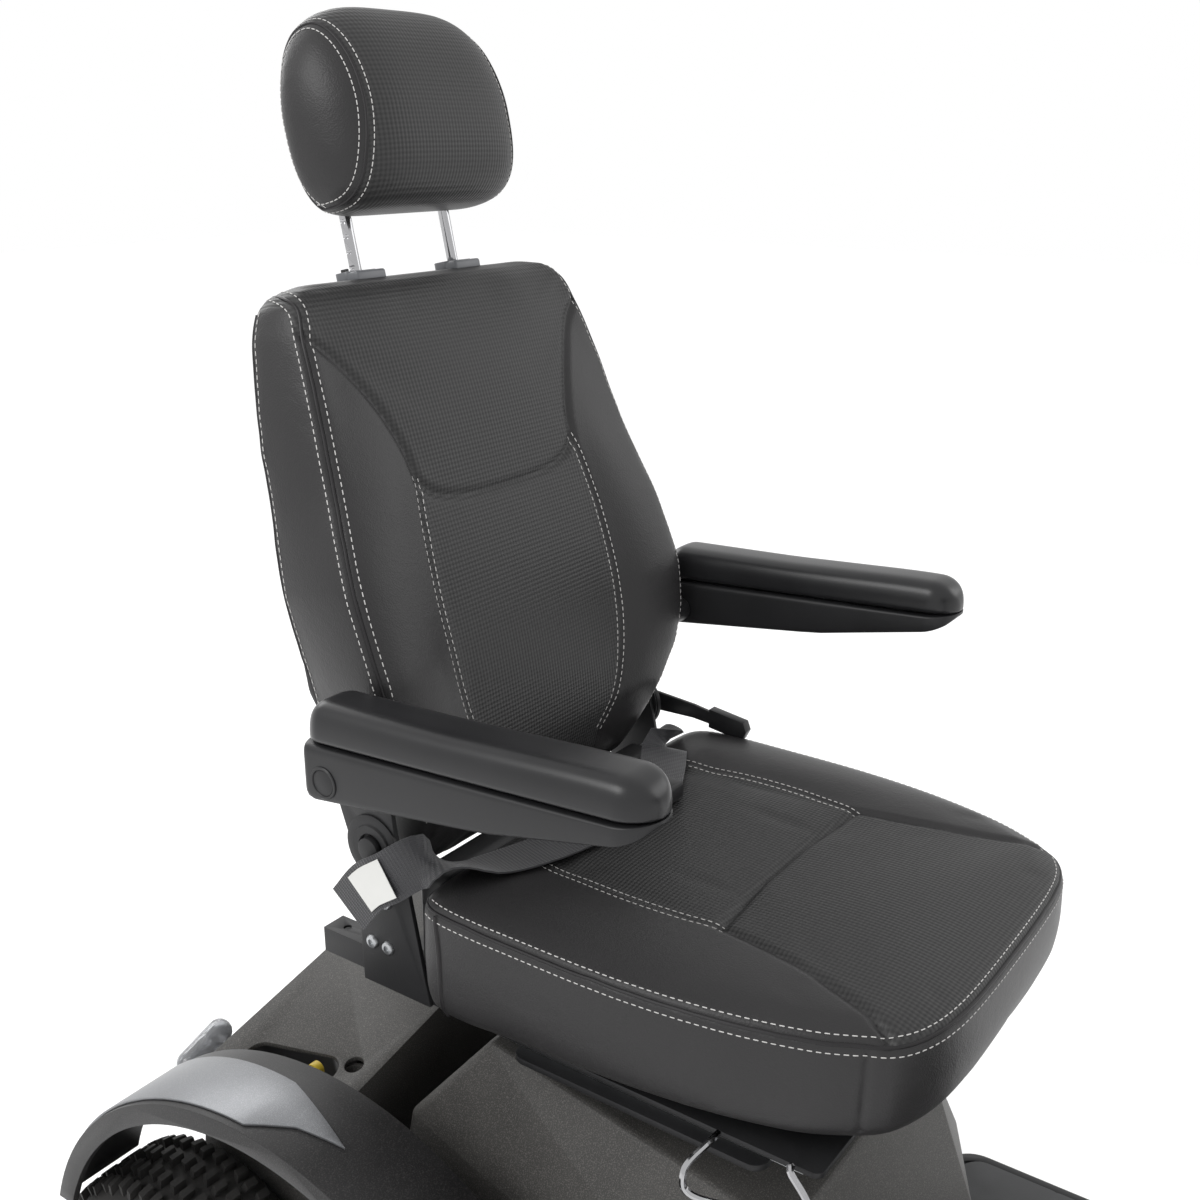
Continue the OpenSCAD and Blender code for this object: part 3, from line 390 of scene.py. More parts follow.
moulded = {"rear_deck": 2.2, "seat_shroud": 2.4, "front_cowl": 2.2, "tiller_head": 2.0}
for node, width in moulded.items():
    rounded(node, "cover_grey", moulded_cover, width, angle=14)
for node in ("fender_right", "fender_left"):
    rounded(node, "plastic_black", fender_plastic, 1.6)
rounded("fender_trims", "trim_silver", silver_trim, 0.9)
rounded("floor_pan", "plastic_black", satin_black, 2.0)
rounded("floor_mat", "mat_grey", mat_rubber, 0.8)
for node in ("recline_lever", "swivel_lever", "throttle_lever",
             "speed_knob", "belt_buckle", "headrest_button"):
    rounded(node, "plastic_black", satin_black, 1.0)
shell = rounded("back_shell", "plastic_black", satin_black, 3.0)
shell.data.transform(Matrix.Diagonal((0.91, 1, 1, 1)))
for node in ("chassis_frame", "bumpers", "anti_tip_bracket", "swivel_plate", "seat_pan", "recliner_plates",
             "back_frame", "steering_stem", "tiller_column", "handlebar", "knuckle_right", "knuckle_left"):
    rounded(node, "frame_black", powder_coat, 0.7)
rounded("headrest_guides", "guide_grey", guide_grey, 1.8)
rounded("freewheel_lever", "lever_yellow", lever_paint, 1.2)
rounded("horn_button", "button_red", button_red, 1.0)
rounded("belt_release", "button_red", button_red, 1.0)
rounded("batteries", "battery_grey", battery_case, 2.0)
for node in ("controller", "transaxle"):
    rounded(node, "alloy", cast_alloy, 1.0)
for node in ("rear_rim_right", "rear_rim_left", "front_rim_right", "front_rim_left"):
    rounded(node, "alloy", cast_alloy, 1.2)
for node in ("tie_rod", "slide_rails", "key"):
    rounded(node, "zinc", zinc, 0.5)
rounded("headrest_posts", "chrome", chrome, 0.3)
rounded("lamp_lenses", "lens_clear", clear_lens, 1.0)
rounded("anti_tip_wheels", "rubber_black", soft_rubber, 3.0)

# %% [markdown]
# ## How the pads are made
# A pad is foam under a sewn cover. It starts as a closed skin, a little smaller than the finished pad, made
# of rings of points. The skin is remeshed into even squares and blown up as cloth, while the points at the
# seams are held, so each panel swells between its seams as foam does. Then the seams are pressed in a
# little more.

# %% Curves through points
def smooth_line(points, step=4.0, closed=False):
    """a Catmull-Rom line through points in mm, with a point about every step mm"""
    p = np.array(points, float)
    p = np.vstack([p[-1:], p, p[:2]]) if closed else np.vstack([2 * p[0] - p[1], p, 2 * p[-1] - p[-2]])
    out = []
    for a, b, c, d in zip(p[:-3], p[1:-2], p[2:-1], p[3:]):
        n = max(2, int(np.linalg.norm(c - b) / step))
        for t in np.linspace(0, 1, n, endpoint=False):
            out.append(0.5 * (2 * b + (c - a) * t + (2 * a - 5 * b + 4 * c - d) * t ** 2
                              + (3 * b - a - 3 * c + d) * t ** 3))
    if not closed:
        out.append(p[-2])
    return np.array(out)

def even_line(points, step, closed=False):
    """the same line with points exactly step apart, in whatever unit it has"""
    p = np.array(points, float)
    if closed:
        p = np.vstack([p, p[:1]])
    far = np.concatenate([[0], np.cumsum(np.linalg.norm(np.diff(p, axis=0), axis=1))])
    n = max(2, int(round(far[-1] / step)))
    at = np.linspace(0, far[-1], n + 1)
    if closed:
        at = at[:-1]
    return np.stack([np.interp(at, far, p[:, k]) for k in range(p.shape[1])], 1)

def both_sides(half):
    """a line given at the right-hand side, and its mirror image"""
    h = np.array(half, float)
    return [h * [-1, 1, 1], h]

def skin(name, rings):
    """a closed skin through rings with the same number of points, in metres"""
    n = len(rings[0])
    verts = [tuple(p) for ring in rings for p in ring]
    faces = []
    for k in range(len(rings) - 1):
        for i in range(n):
            j = (i + 1) % n
            faces.append((k * n + i, k * n + j, (k + 1) * n + j, (k + 1) * n + i))
    for k, order in ((0, -1), (len(rings) - 1, 1)):
        centre = len(verts)
        verts.append(tuple(np.mean(rings[k], axis=0)))
        for i in range(n):
            tri = (k * n + i, k * n + (i + 1) % n, centre)
            faces.append(tri[::order])
    o = mesh_piece(name, verts, faces)
    pick(o)
    bpy.ops.object.mode_set(mode="EDIT")
    bpy.ops.mesh.select_all(action="SELECT")
    bpy.ops.mesh.normals_make_consistent(inside=False)
    bpy.ops.object.mode_set(mode="OBJECT")
    return o

def points_of(o):
    co = np.zeros(len(o.data.vertices) * 3)
    o.data.vertices.foreach_get("co", co)
    return co.reshape(-1, 3)

def set_points(o, co):
    o.data.vertices.foreach_set("co", co.ravel())
    o.data.update()

def normals_of(o):
    no = np.zeros(len(o.data.vertices) * 3)
    o.data.vertices.foreach_get("normal", no)
    return no.reshape(-1, 3)

def near(points, lines):
    """how far each point is from the nearest of the lines, in metres"""
    every = np.vstack([even_line(l, 0.003) for l in lines])
    tree = KDTree(len(every))
    for i, p in enumerate(every):
        tree.insert(p, i)
    tree.balance()
    return np.array([tree.find(p)[2] for p in points])

# %% [markdown]
# The cloth solver pushes the skin outwards with air pressure and has no gravity. The held points come from
# the seam lines. No point may move further than the cap, and the result is baked into the mesh.

# %% Blow up a skin
def surface(o):
    return BVHTree.FromPolygons([v.co.copy() for v in o.data.vertices],
        [tuple(p.vertices) for p in o.data.polygons])

def laid_on(tree, line):
    """each point of the line moved to the nearest point of a surface, and the surface's normals there"""
    hits = [tree.find_nearest(Vector(p)) for p in line]
    return np.array([h[0] for h in hits]), np.array([h[1] for h in hits])

def blow_up(o, seams, held, voxel, pressure, cap, frames=20):
    o.data.remesh_voxel_size = voxel
    pick(o)
    bpy.ops.object.voxel_remesh()
    even = o.modifiers.new("even", "SMOOTH")
    even.factor = 0.5
    even.iterations = 5
    apply_modifiers(o)
    start = points_of(o).copy()
    tree = surface(o)
    seams = [laid_on(tree, even_line(s, 0.003))[0] for s in seams]
    gap = near(start, seams)
    loose = np.clip((gap - 0.004) / 0.012, 0, 1) * (1 - held(start))
    pins = o.vertex_groups.new(name="held")
    for i in np.nonzero(loose < 0.999)[0]:
        pins.add([int(i)], float(1 - loose[i]), "REPLACE")
    cloth = o.modifiers.new("foam", "CLOTH")
    s = cloth.settings
    s.quality = 5
    s.mass = 0.3
    s.tension_stiffness = s.compression_stiffness = s.shear_stiffness = 25
    s.bending_stiffness = 4
    s.use_pressure = True
    s.uniform_pressure_force = pressure
    s.effector_weights.gravity = 0
    s.vertex_group_mass = "held"
    cloth.collision_settings.use_collision = False
    cloth.point_cache.frame_start = 1
    cloth.point_cache.frame_end = frames
    for f in range(1, frames + 1):
        bpy.context.scene.frame_set(f)
    ready = o.evaluated_get(bpy.context.evaluated_depsgraph_get())
    moved = np.array([v.co for v in ready.data.vertices]) - start
    o.modifiers.remove(cloth)
    bpy.context.scene.frame_set(1)
    size = np.linalg.norm(moved, axis=1)
    limit = cap * np.maximum(loose, 0.02) ** 0.5
    moved *= np.minimum(1, limit / np.maximum(size, 1e-9))[:, None]
    print(o.name, "swelled by", round(float(np.percentile(size, 90)) * 1000, 1), "mm before the cap")
    set_points(o, start + moved)
    o.vertex_groups.clear()
    relax = o.modifiers.new("relax", "SMOOTH")
    relax.factor = 0.5
    relax.iterations = 3
    finer = o.modifiers.new("finer", "SUBSURF")
    finer.levels = finer.render_levels = 1
    apply_modifiers(o)
    return seams

def press_seams(o, lines, depth, width):
    """presses the lines into the pad, like a seam that is pulled tight"""
    co = points_of(o)
    gap = near(co, lines)
    inward = depth * np.exp(-(gap / width) ** 2)
    set_points(o, co - normals_of(o) * inward[:, None])

def mark_woven(o, inside):
    attribute = o.data.attributes.new("woven", "FLOAT", "POINT")
    attribute.data.foreach_set("value", inside.astype(np.float32))

# %% [markdown]
# ## Thread and piping
# One stitch is a short flattened capsule. It is modelled once from a cylinder and copied along each seam,
# half sunk in the leather. Piping is a thin cord that follows the seam between two panels.

# %% A stitch, a row of them, and piping
def one_stitch():
    bpy.ops.object.select_all(action="DESELECT")
    bpy.ops.mesh.primitive_cylinder_add(vertices=6, radius=0.0005, depth=0.0042, end_fill_type="TRIFAN")
    o = bpy.context.object
    bpy.ops.object.mode_set(mode="EDIT")
    bpy.ops.mesh.select_all(action="SELECT")
    bpy.ops.mesh.bisect(plane_co=(0, 0, 0.0017), plane_no=(0, 0, 1))
    bpy.ops.mesh.select_all(action="SELECT")
    bpy.ops.mesh.bisect(plane_co=(0, 0, -0.0017), plane_no=(0, 0, 1))
    bpy.ops.object.mode_set(mode="OBJECT")
    co = points_of(o)
    ends = np.abs(co[:, 2]) > 0.002
    co[ends, :2] *= 0.5
    co[:, 1] *= 0.75
    shape = (co.copy(), [tuple(p.vertices) for p in o.data.polygons])
    bpy.data.objects.remove(o)
    return shape

stitch_points, stitch_faces = one_stitch()
print("one stitch has", len(stitch_faces), "faces")

def calmed(line, times):
    """the same points with small wiggles taken out; the ends stay"""
    line = np.array(line)
    for _ in range(times):
        line[1:-1] = (line[:-2] + 2 * line[1:-1] + line[2:]) / 4
    return line

def offset_line(tree, line, side):
    """a line moved sideways over the surface by side metres"""
    on, up = laid_on(tree, line)
    on, up = calmed(on, 8), calmed(up, 16)
    run = np.gradient(on, axis=0)
    run /= np.maximum(np.linalg.norm(run, axis=1), 1e-9)[:, None]
    across = np.cross(up, run)
    across /= np.maximum(np.linalg.norm(across, axis=1), 1e-9)[:, None]
    return calmed(laid_on(tree, on + across * side)[0], 6)

def stitches(name, tree, lines, body, pitch=0.0068):
    verts, faces = [], []
    for line in lines:
        at, up = laid_on(tree, even_line(line, pitch))
        run = np.gradient(at, axis=0)
        run /= np.maximum(np.linalg.norm(run, axis=1), 1e-9)[:, None]
        side = np.cross(up, run)
        for p, n, r, s in zip(at, up, run, side):
            first = len(verts)
            place = p + n * 0.00025
            verts.extend(stitch_points @ np.array([s, n, r]) + place)
            faces.extend([tuple(first + i for i in f) for f in stitch_faces])
    o = mesh_piece(name, verts, faces)
    print(name, len(faces) // len(stitch_faces), "stitches")
    return dress(o, body, "leather_black", thread)

def cord_mesh(name, lines, radius, sides=8, closed=False):
    """tubes of one radius along lines in metres"""
    verts, faces = [], []
    turn = np.linspace(0, 2 * math.pi, sides, endpoint=False)
    for line in lines:
        line = np.array(line)
        run = np.gradient(line, axis=0)
        if closed:
            run = np.roll(line, -1, 0) - np.roll(line, 1, 0)
        run /= np.maximum(np.linalg.norm(run, axis=1), 1e-9)[:, None]
        side = np.cross(run[0], [0.3, 0.5, 0.8])
        first = len(verts)
        for p, r in zip(line, run):
            side = side - r * np.dot(side, r)
            side /= np.linalg.norm(side)
            up = np.cross(r, side)
            verts.extend(p + radius * (math.cos(a) * side + math.sin(a) * up) for a in turn)
        n = len(line)
        for k in range(n if closed else n - 1):
            m = (k + 1) % n
            for i in range(sides):
                j = (i + 1) % sides
                faces.append((first + k * sides + i, first + k * sides + j,
                              first + m * sides + j, first + m * sides + i))
        if not closed:
            faces.append(tuple(first + i for i in range(sides))[::-1])
            faces.append(tuple(first + (n - 1) * sides + i for i in range(sides)))
    o = mesh_piece(name, verts, faces)
    pick(o)
    bpy.ops.object.mode_set(mode="EDIT")
    bpy.ops.mesh.select_all(action="SELECT")
    bpy.ops.mesh.normals_make_consistent(inside=False)
    bpy.ops.object.mode_set(mode="OBJECT")
    return o

def piping(name, tree, lines, body, radius=0.0017):
    laid = [calmed(laid_on(tree, even_line(l, 0.004))[0], 6) for l in lines]
    return dress(cord_mesh(name, laid, radius), body, "leather_black", welt)

print("sewing tools ready")

# %% [markdown]
# ## Seat cushion
# The cushion is wide at the back, tapers to the front and ends in a rounded nose. A piped seam runs round
# its top edge. A T of seams divides the top: two sewn seams run forward from the back, a deep crease joins
# them across, and two more creases spread to the front corners. The rear panel lies lower than the
# bolsters.

# %% Seat cushion: its skin
seat_edge_half = [(0, 296), (110, 297), (203, 295), (230, 284), (238.5, 250), (240, 184), (239, 83),
    (230, -1),
    (212, -75), (192, -118), (172, -146), (119, -164), (17, -168)]

def seat_outline():
    right = [(-x, y) for x, y in seat_edge_half]
    left = [(x, y) for x, y in seat_edge_half if x > 18]
    ring = right + left[::-1]
    ring[0] = (0, 296)
    return even_line(smooth_line([(x, y, 0) for x, y in ring], 3.0, closed=True), 10.0, closed=True)[:, :2]

def seat_bottom(y):
    return np.interp(y, [-168, -115, -74, 53, 185, 296], [622, 613, 610, 607, 602, 590])

def seat_crown(x, y):
    """how far the top stands above the piping, in mm"""
    rise = 13 + 3 * np.exp(-((np.abs(x) - 178) / 40) ** 2) * (y > -60)
    rear = np.clip((y - 30) / 50, 0, 1) * np.clip((138 - np.abs(x)) / 26, 0, 1)
    return rise - 7 * rear

edge = seat_outline()
middle = np.array([0.0, 70.0])
seat_rings = []
for scale, level in ((0.55, "pan"), (0.86, "pan"), (0.955, -3), (0.99, 8), (1.0, 24),
                     (1.004, 0.5), (1.0, 693),
                     (0.996, 700), (0.965, 705.5), (0.9, "top"), (0.75, "top"), (0.55, "top"), (0.3, "top")):
    xy = middle + (edge - middle) * scale
    low = seat_bottom(xy[:, 1])
    if level == "pan":
        z = np.minimum(low - 2, 583)
        z = np.where(scale < 0.6, 583, (low - 4 + 583) / 2)
    elif level == "top":
        z = 700 + seat_crown(*xy.T) * min(1.0, (1 - scale) * 9)
    elif level == 0.5:
        z = (low + 700) / 2
    elif level < 600:
        z = low + level
    else:
        z = np.full(len(xy), float(level))
    seat_rings.append(np.column_stack([xy, z]) * MM)
seat_pad = skin("seat_pad", seat_rings)
print("seat skin points:", len(seat_pad.data.vertices))

# %% Seat cushion: seams and swelling
seat_double = both_sides([(127, 292, 706), (132, 205, 706), (136, 150, 706), (135, 100, 708), (129, 41, 711)])
seat_cross = [(-129, 41, 711), (-95, 46, 711), (-40, 52, 711), (40, 52, 711), (95, 46, 711), (129, 41, 711)]
seat_spread = both_sides([(129, 41, 711), (134, 6, 712), (141, -31, 712), (150, -65, 711), (162, -101, 710),
    (175, -128, 706), (184, -136, 700)])
seat_corner = both_sides([(190, -122, 696), (192, -122, 660), (186, -118, 622)])
seat_rim = np.column_stack([edge, np.full(len(edge), 700.0)])
seat_rim = np.vstack([seat_rim, seat_rim[:1]])
sewn = [smooth_line(l) * MM for l in (*seat_double, seat_cross, *seat_spread)]
seat_folds = [smooth_line(l) * MM for l in seat_corner]
rim_line = seat_rim * MM

def seat_held(co):
    under = np.clip((0.600 - co[:, 2]) / 0.01, 0, 1)
    return np.maximum(under, np.clip((co[:, 1] - 0.285) / 0.01, 0, 0.6))

blow_up(seat_pad, [*sewn, rim_line], seat_held, 0.0052, 4.0, 0.009)
press_seams(seat_pad, sewn[2:], 0.0045, 0.0045)
press_seams(seat_pad, [*sewn[:2], rim_line, *seat_folds], 0.0022, 0.0032)
co = points_of(seat_pad)
co[:, 0] = np.clip(co[:, 0], -0.2415, 0.2415)
set_points(seat_pad, co)

# %% [markdown]
# The embossed leather lies between the two rear seams and in front of the cross seam. For each point of the
# pad the distance to that outline is measured, positive inside.

# %% Seat cushion: where the embossed panel lies
def inside_outline(xy, outline):
    """signed distance to a closed outline, positive inside"""
    a = outline
    b = np.roll(outline, -1, 0)
    best = np.full(len(xy), 1e9)
    odd = np.zeros(len(xy), bool)
    for p, q in zip(a, b):
        d = q - p
        t = np.clip(((xy - p) @ d) / max(d @ d, 1e-12), 0, 1)
        best = np.minimum(best, np.linalg.norm(xy - p - t[:, None] * d, axis=1))
        crosses = (p[1] > xy[:, 1]) != (q[1] > xy[:, 1])
        with np.errstate(divide="ignore", invalid="ignore"):
            odd ^= crosses & (xy[:, 0] < (q[0] - p[0]) * (xy[:, 1] - p[1]) / (q[1] - p[1]) + p[0])
    return np.where(odd, best, -best)

left_border = np.vstack([sewn[1][:, :2], sewn[4][:, :2]])
border = np.vstack([[[0.127, 0.32]], left_border, [[0.19, -0.2], [-0.19, -0.2]],
                    (left_border * [-1, 1])[::-1], [[-0.127, 0.32]]])
co = points_of(seat_pad)
mark_woven(seat_pad, np.minimum(inside_outline(co[:, :2], border), co[:, 2] - 0.699))
dress(seat_pad, "seat", "leather_black", seat_leather, "seat_cushion", angle=80)
print("seat pad triangles:", 2 * len(seat_pad.data.polygons))

# %% Seat cushion: piping and thread
seat_skin = surface(seat_pad)
front_part = np.array([p for p in even_line(rim_line, 0.004) if p[1] < 0.284])
start = int(np.argmax(np.linalg.norm(np.diff(front_part, axis=0), axis=1))) + 1
if np.linalg.norm(front_part[0] - front_part[-1]) < 0.02:
    front_part = np.vstack([front_part[start:], front_part[:start]])
piping("seat_piping", seat_skin, [rim_line], "seat")
rows = [offset_line(seat_skin, front_part, 0.0072), offset_line(seat_skin, front_part, -0.0075)]
for line in sewn[:2]:
    rows += [offset_line(seat_skin, line, 0.0046), offset_line(seat_skin, line, -0.0046)]
stitches("seat_stitches", seat_skin, rows, "seat")
rear_welts = [smooth_line(l) * MM for l in both_sides(
    [(240, 268, 700), (243, 262, 660), (240, 262, 620), (228, 262, 594)])]
piping("seat_rear_welts", seat_skin, rear_welts, "seat", 0.0024)

# %% [markdown]
# ## Back cushion
# The back is built the same way, with rings stacked up the leaning back. Each ring gives the half width at
# the front piping and at the rear edge, and how far forward the piping and the middle lie. The bolsters
# stand proud beside a flatter middle.

# %% Back cushion: its skin
back_table = np.array([
    # h, half width at the piping, at the rear edge, depth of the piping, of the middle, of the rear edge
    (-44, 120, 120, 2, 2, 24), (-36, 160, 160, -8, -8, 28), (-14, 176, 176, -24, -22, 31),
    (12, 180, 178, -46, -40, 33), (40, 190, 182, -62, -53, 33),
    (75, 216, 206, -70, -58, 34), (110, 231, 216, -74, -60, 34), (160, 238, 220, -76, -61, 34),
    (240, 234, 229, -62, -56, 34), (321, 217, 221, -46, -48, 34), (400, 206, 214, -36, -37, 34),
    (461, 196, 203, -25, -27, 34), (485, 188, 193, -18, -20, 32), (497, 176, 180, -8, -10, 28),
    (503, 150, 154, 4, 4, 20)], float)
back_heights = np.array([-44, -40, -36, -28, -14, 0, 12, 26, 40, 58, 75, 92, 110, 135,
                         160, 187, 213, 240, 267, 294, 321, 348, 374,
                         400, 420, 441, 461, 474, 485, 492, 497, 501, 503], float)

def back_ring(h):
    wp, wr, tp, tc, tr = [np.interp(h, back_table[:, 0], back_table[:, k]) for k in range(1, 6)]
    proud = 9 * np.clip((h - 20) / 60, 0, 1) * np.clip((430 - h) / 120, 0, 1)
    half = [(0, tc), (0.3 * wp, tc), (0.52 * wp, tc - 1), (0.72 * wp, tp * 0.6 + tc * 0.4 - proud * 0.9),
            (0.88 * wp, tp - proud * 0.8), (0.965 * wp, tp - 3), (wp, tp + 3),
            (wp * 0.75 + wr * 0.25 + 3, tp * 0.7 + tr * 0.3),
            (wp * 0.35 + wr * 0.65 + 3, tp * 0.35 + tr * 0.65), (wr + 1, tr - 9),
            (wr - 2, tr - 2), (wr - 16, tr), (0, tr)]
    right = [(-x, t) for x, t in half]
    left = [(x, t) for x, t in half[1:-1]]
    ring = right + left[::-1]
    ring = even_line(smooth_line([(x, t, 0) for x, t in ring], 3.0, closed=True), 9.0, closed=True)
    ring = ring[np.linspace(0, len(ring) - 1e-6, 120).astype(int)]
    return [on_back(x, t, h) for x, t, _ in ring]

back_pad = skin("back_pad", [np.array(back_ring(h)) for h in back_heights])
print("back skin points:", len(back_pad.data.vertices))

# %% Back cushion: seams and swelling
def back_line(points, step=4.0):
    return np.array([on_back(*p) for p in smooth_line(points, step)])

def back_sides(points):
    return [back_line([(-x, t, h) for x, t, h in points]), back_line(points)]

back_double = back_sides([(88, -44, 12), (112, -58, 57), (126, -60, 110), (130, -62, 150), (131, -60, 200),
    (126, -56, 265), (117, -49, 319)])
back_yoke = back_line([(-117, -49, 319), (-104, -50, 306), (-84, -52, 298), (-40, -53, 292), (40, -53, 292),
    (84, -52, 298), (104, -50, 306), (117, -49, 319)])
back_curve = back_sides([(117, -49, 319), (122, -46, 348), (140, -40, 392), (168, -32, 436), (196, -25, 461)])
front_rim_points = [(wp * 0.99, tp, h) for h, wp, _, tp, _, _ in back_table if 8 < h < 490]
front_rim_points += [(184, 0, 493), (178, 12, 497), (172, 24, 494)]
back_front_rim = back_sides(front_rim_points)
back_rear_rim = back_sides([(wr, tr, h) for h, _, wr, _, _, tr in back_table if 30 < h < 496])

def back_held(co):
    through = (co[:, 1] - 0.358) * math.cos(BACK_LEAN) - (co[:, 2] - 0.726) * math.sin(BACK_LEAN)
    return np.clip((through - 0.022) / 0.008, 0, 1)

blow_up(back_pad, [*back_double, back_yoke, *back_curve, *back_front_rim, *back_rear_rim], back_held,
    0.0055, 4.0, 0.009)
press_seams(back_pad, [back_yoke, *back_curve], 0.0042, 0.0045)
press_seams(back_pad, [*back_double, *back_front_rim, *back_rear_rim], 0.0022, 0.0032)
co = points_of(back_pad)
beside_arms = (co[:, 2] > 0.78) & (co[:, 2] < 0.95)
co[beside_arms, 0] = np.clip(co[beside_arms, 0], -0.2425, 0.2425)
through = (co[:, 1] - 0.358) * math.cos(BACK_LEAN) - (co[:, 2] - 0.726) * math.sin(BACK_LEAN)
up = (co[:, 1] - 0.358) * math.sin(BACK_LEAN) + (co[:, 2] - 0.726) * math.cos(BACK_LEAN)
under_guide = (np.abs(np.abs(co[:, 0]) - 0.068) < 0.024) & (np.abs(through - 0.024) < 0.016)
sink = np.where(under_guide, np.maximum(0, up - 0.4945), 0)[:, None]
co -= sink * np.array([0, math.sin(BACK_LEAN), math.cos(BACK_LEAN)])
set_points(back_pad, co)

# %% Back cushion: its embossed panel, piping and thread
def back_plane(co):
    """x and height along the leaning back"""
    up = (co[:, 1] - 0.358) * math.sin(BACK_LEAN) + (co[:, 2] - 0.726) * math.cos(BACK_LEAN)
    return np.column_stack([co[:, 0], up])

right_border = np.vstack([back_plane(back_double[1]), back_plane(back_curve[1]),
    [[0.19, 0.49], [0.176, 0.53]]])
border = np.vstack([[[0.088, -0.02]], right_border, (right_border * [-1, 1])[::-1], [[-0.088, -0.02]]])
co = points_of(back_pad)
through = (co[:, 1] - 0.358) * math.cos(BACK_LEAN) - (co[:, 2] - 0.726) * math.sin(BACK_LEAN)
mark_woven(back_pad, np.minimum(inside_outline(back_plane(co), border), 0.031 - through))
dress(back_pad, "back", "leather_black", back_leather, "backrest_pad", angle=80)
back_skin = surface(back_pad)
piping("back_piping", back_skin, [*back_front_rim, *back_rear_rim], "back")
rows = []
for line in (*back_front_rim, *back_rear_rim):
    rows += [offset_line(back_skin, line, 0.0072), offset_line(back_skin, line, -0.0072)]
for line in back_double:
    rows += [offset_line(back_skin, line, 0.0046), offset_line(back_skin, line, -0.0046)]
stitches("back_stitches", back_skin, rows, "back")
print("back pad triangles:", 2 * len(back_pad.data.polygons))

# %% [markdown]
# ## Headrest
# The headrest is a firm pillow, flat at the bottom and full at the front. Its skin is lofted through rings
# from one side to the other. A piped seam on each side divides the wrapped embossed middle from the smooth
# side panel.

# %% Headrest
head_half = [(110, 16, 558), (111, -20, 559), (109, -46, 578), (104, -60, 616),
    (101, -64, 650), (102, -58, 690),
    (104, -38, 720), (106, -8, 736), (109, 14, 726), (112, 26, 700),
    (114, 34, 650), (113, 31, 600), (110, 16, 558)]

def pillow_ring(x):
    """the headrest's outline at a distance x from the middle"""
    u = min(1.0, abs(x) / HEAD_HALF)
    top_k = (1 - u ** 4.2) ** 0.5
    low_k = (1 - u ** 10) ** 0.5
    front_k = (1 - u ** 4.6) ** 0.5
    rear_k = (1 - u ** 9) ** 0.4
    ring = []
    for a in np.linspace(0, 2 * math.pi, 80, endpoint=False):
        c, s = math.cos(a), math.sin(a)
        deep = (32 * rear_k if c > 0 else 71 * front_k) * math.copysign(abs(c) ** 0.75, c)
        tall = (94 * top_k if s > 0 else 88 * low_k) * math.copysign(abs(s) ** (0.92 if s > 0 else 0.6), s)
        ring.append(on_back(x, 4 + deep * (1 - 0.18 * max(0, s)), 646 + tall))
    return np.array(ring)

HEAD_HALF = 125
head_xs = HEAD_HALF * np.sin(np.linspace(-math.pi / 2 * 0.985, math.pi / 2 * 0.985, 45))
head_pad = skin("head_pad", [pillow_ring(x) for x in head_xs])
seams = back_sides(head_half)

def head_held(co):
    up = back_plane(co)[:, 1]
    return np.clip((0.568 - up) / 0.006, 0, 1) * 0.8

blow_up(head_pad, seams, head_held, 0.0042, 4.5, 0.006)
press_seams(head_pad, seams, 0.0028, 0.0034)
co = points_of(head_pad)
laid_seam = laid_on(surface(head_pad), np.vstack([even_line(l, 0.003) for l in seams]))[0]
tree = KDTree(len(laid_seam))
for i, p in enumerate(laid_seam):
    tree.insert(p, i)
tree.balance()
found = [tree.find(p) for p in co]
seam_x = np.array([abs(f[0][0]) for f in found])
mark_woven(head_pad, seam_x - np.abs(co[:, 0]))
dress(head_pad, "headrest", "leather_black", back_leather, "headrest_pad", angle=80)
head_skin = surface(head_pad)
piping("head_piping", head_skin, seams, "headrest", 0.0016)
rows = []
for line in seams:
    rows += [offset_line(head_skin, line, 0.0066), offset_line(head_skin, line, -0.0066)]
stitches("head_stitches", head_skin, rows, "headrest", 0.0058)
print("headrest triangles:", 2 * len(head_pad.data.polygons))

# %% [markdown]
# ## Armrests
# An armrest is a thin black moulding that tapers to its front, and a fat pad of firm foam with a satin skin
# on it. Both have the same plan: square at the back and a half circle at the front. They are lofted through
# upright rings along the arm, and a 1 mm gap between them makes the dark parting line.

# %% Armrests
ARM_MIDDLE, ARM_HALF, ARM_BACK, ARM_FRONT = 274, 29.5, 350, 6

def plan_share(y, rear_radius):
    """how much of its full width the arm has at y"""
    front = np.clip((ARM_HALF - (y - ARM_FRONT)) / ARM_HALF, 0, 1)
    rear = np.clip((rear_radius - (ARM_BACK - y)) / rear_radius, 0, 1)
    return math.sqrt(max(0.0, 1 - front ** 2)) * math.sqrt(max(0.0, 1 - rear ** 2))

def parting(y):
    return np.interp(y, [ARM_FRONT, ARM_BACK], [886, 866])

arm_ys = [ARM_FRONT + ARM_HALF * (1 - math.cos(a)) for a in np.linspace(0.12, math.pi / 2, 14)]
arm_ys += list(np.linspace(50, 318, 12)) + [ARM_BACK - 24 * (1 - math.cos(a))
    for a in np.linspace(math.pi / 2, 0.12, 12)]

def pad_ring(side, y):
    k, low = plan_share(y, 24), parting(y) + 1.2
    tall = np.interp(y, [6, 60, 200, 350], [31, 33, 32, 35]) * k ** 0.8
    ring = [(-1, 0), (-0.5, -0.0), (0.5, 0.0), (1, 0)]
    ring += [(math.copysign(abs(math.cos(a)) ** 0.5, math.cos(a)), math.sin(a) ** 0.72)
             for a in np.linspace(0.1, math.pi - 0.1, 26)]
    return np.array([mm(side * (ARM_MIDDLE + (ARM_HALF - 0.5) * k * x), y, low + tall * z) for x, z in ring])

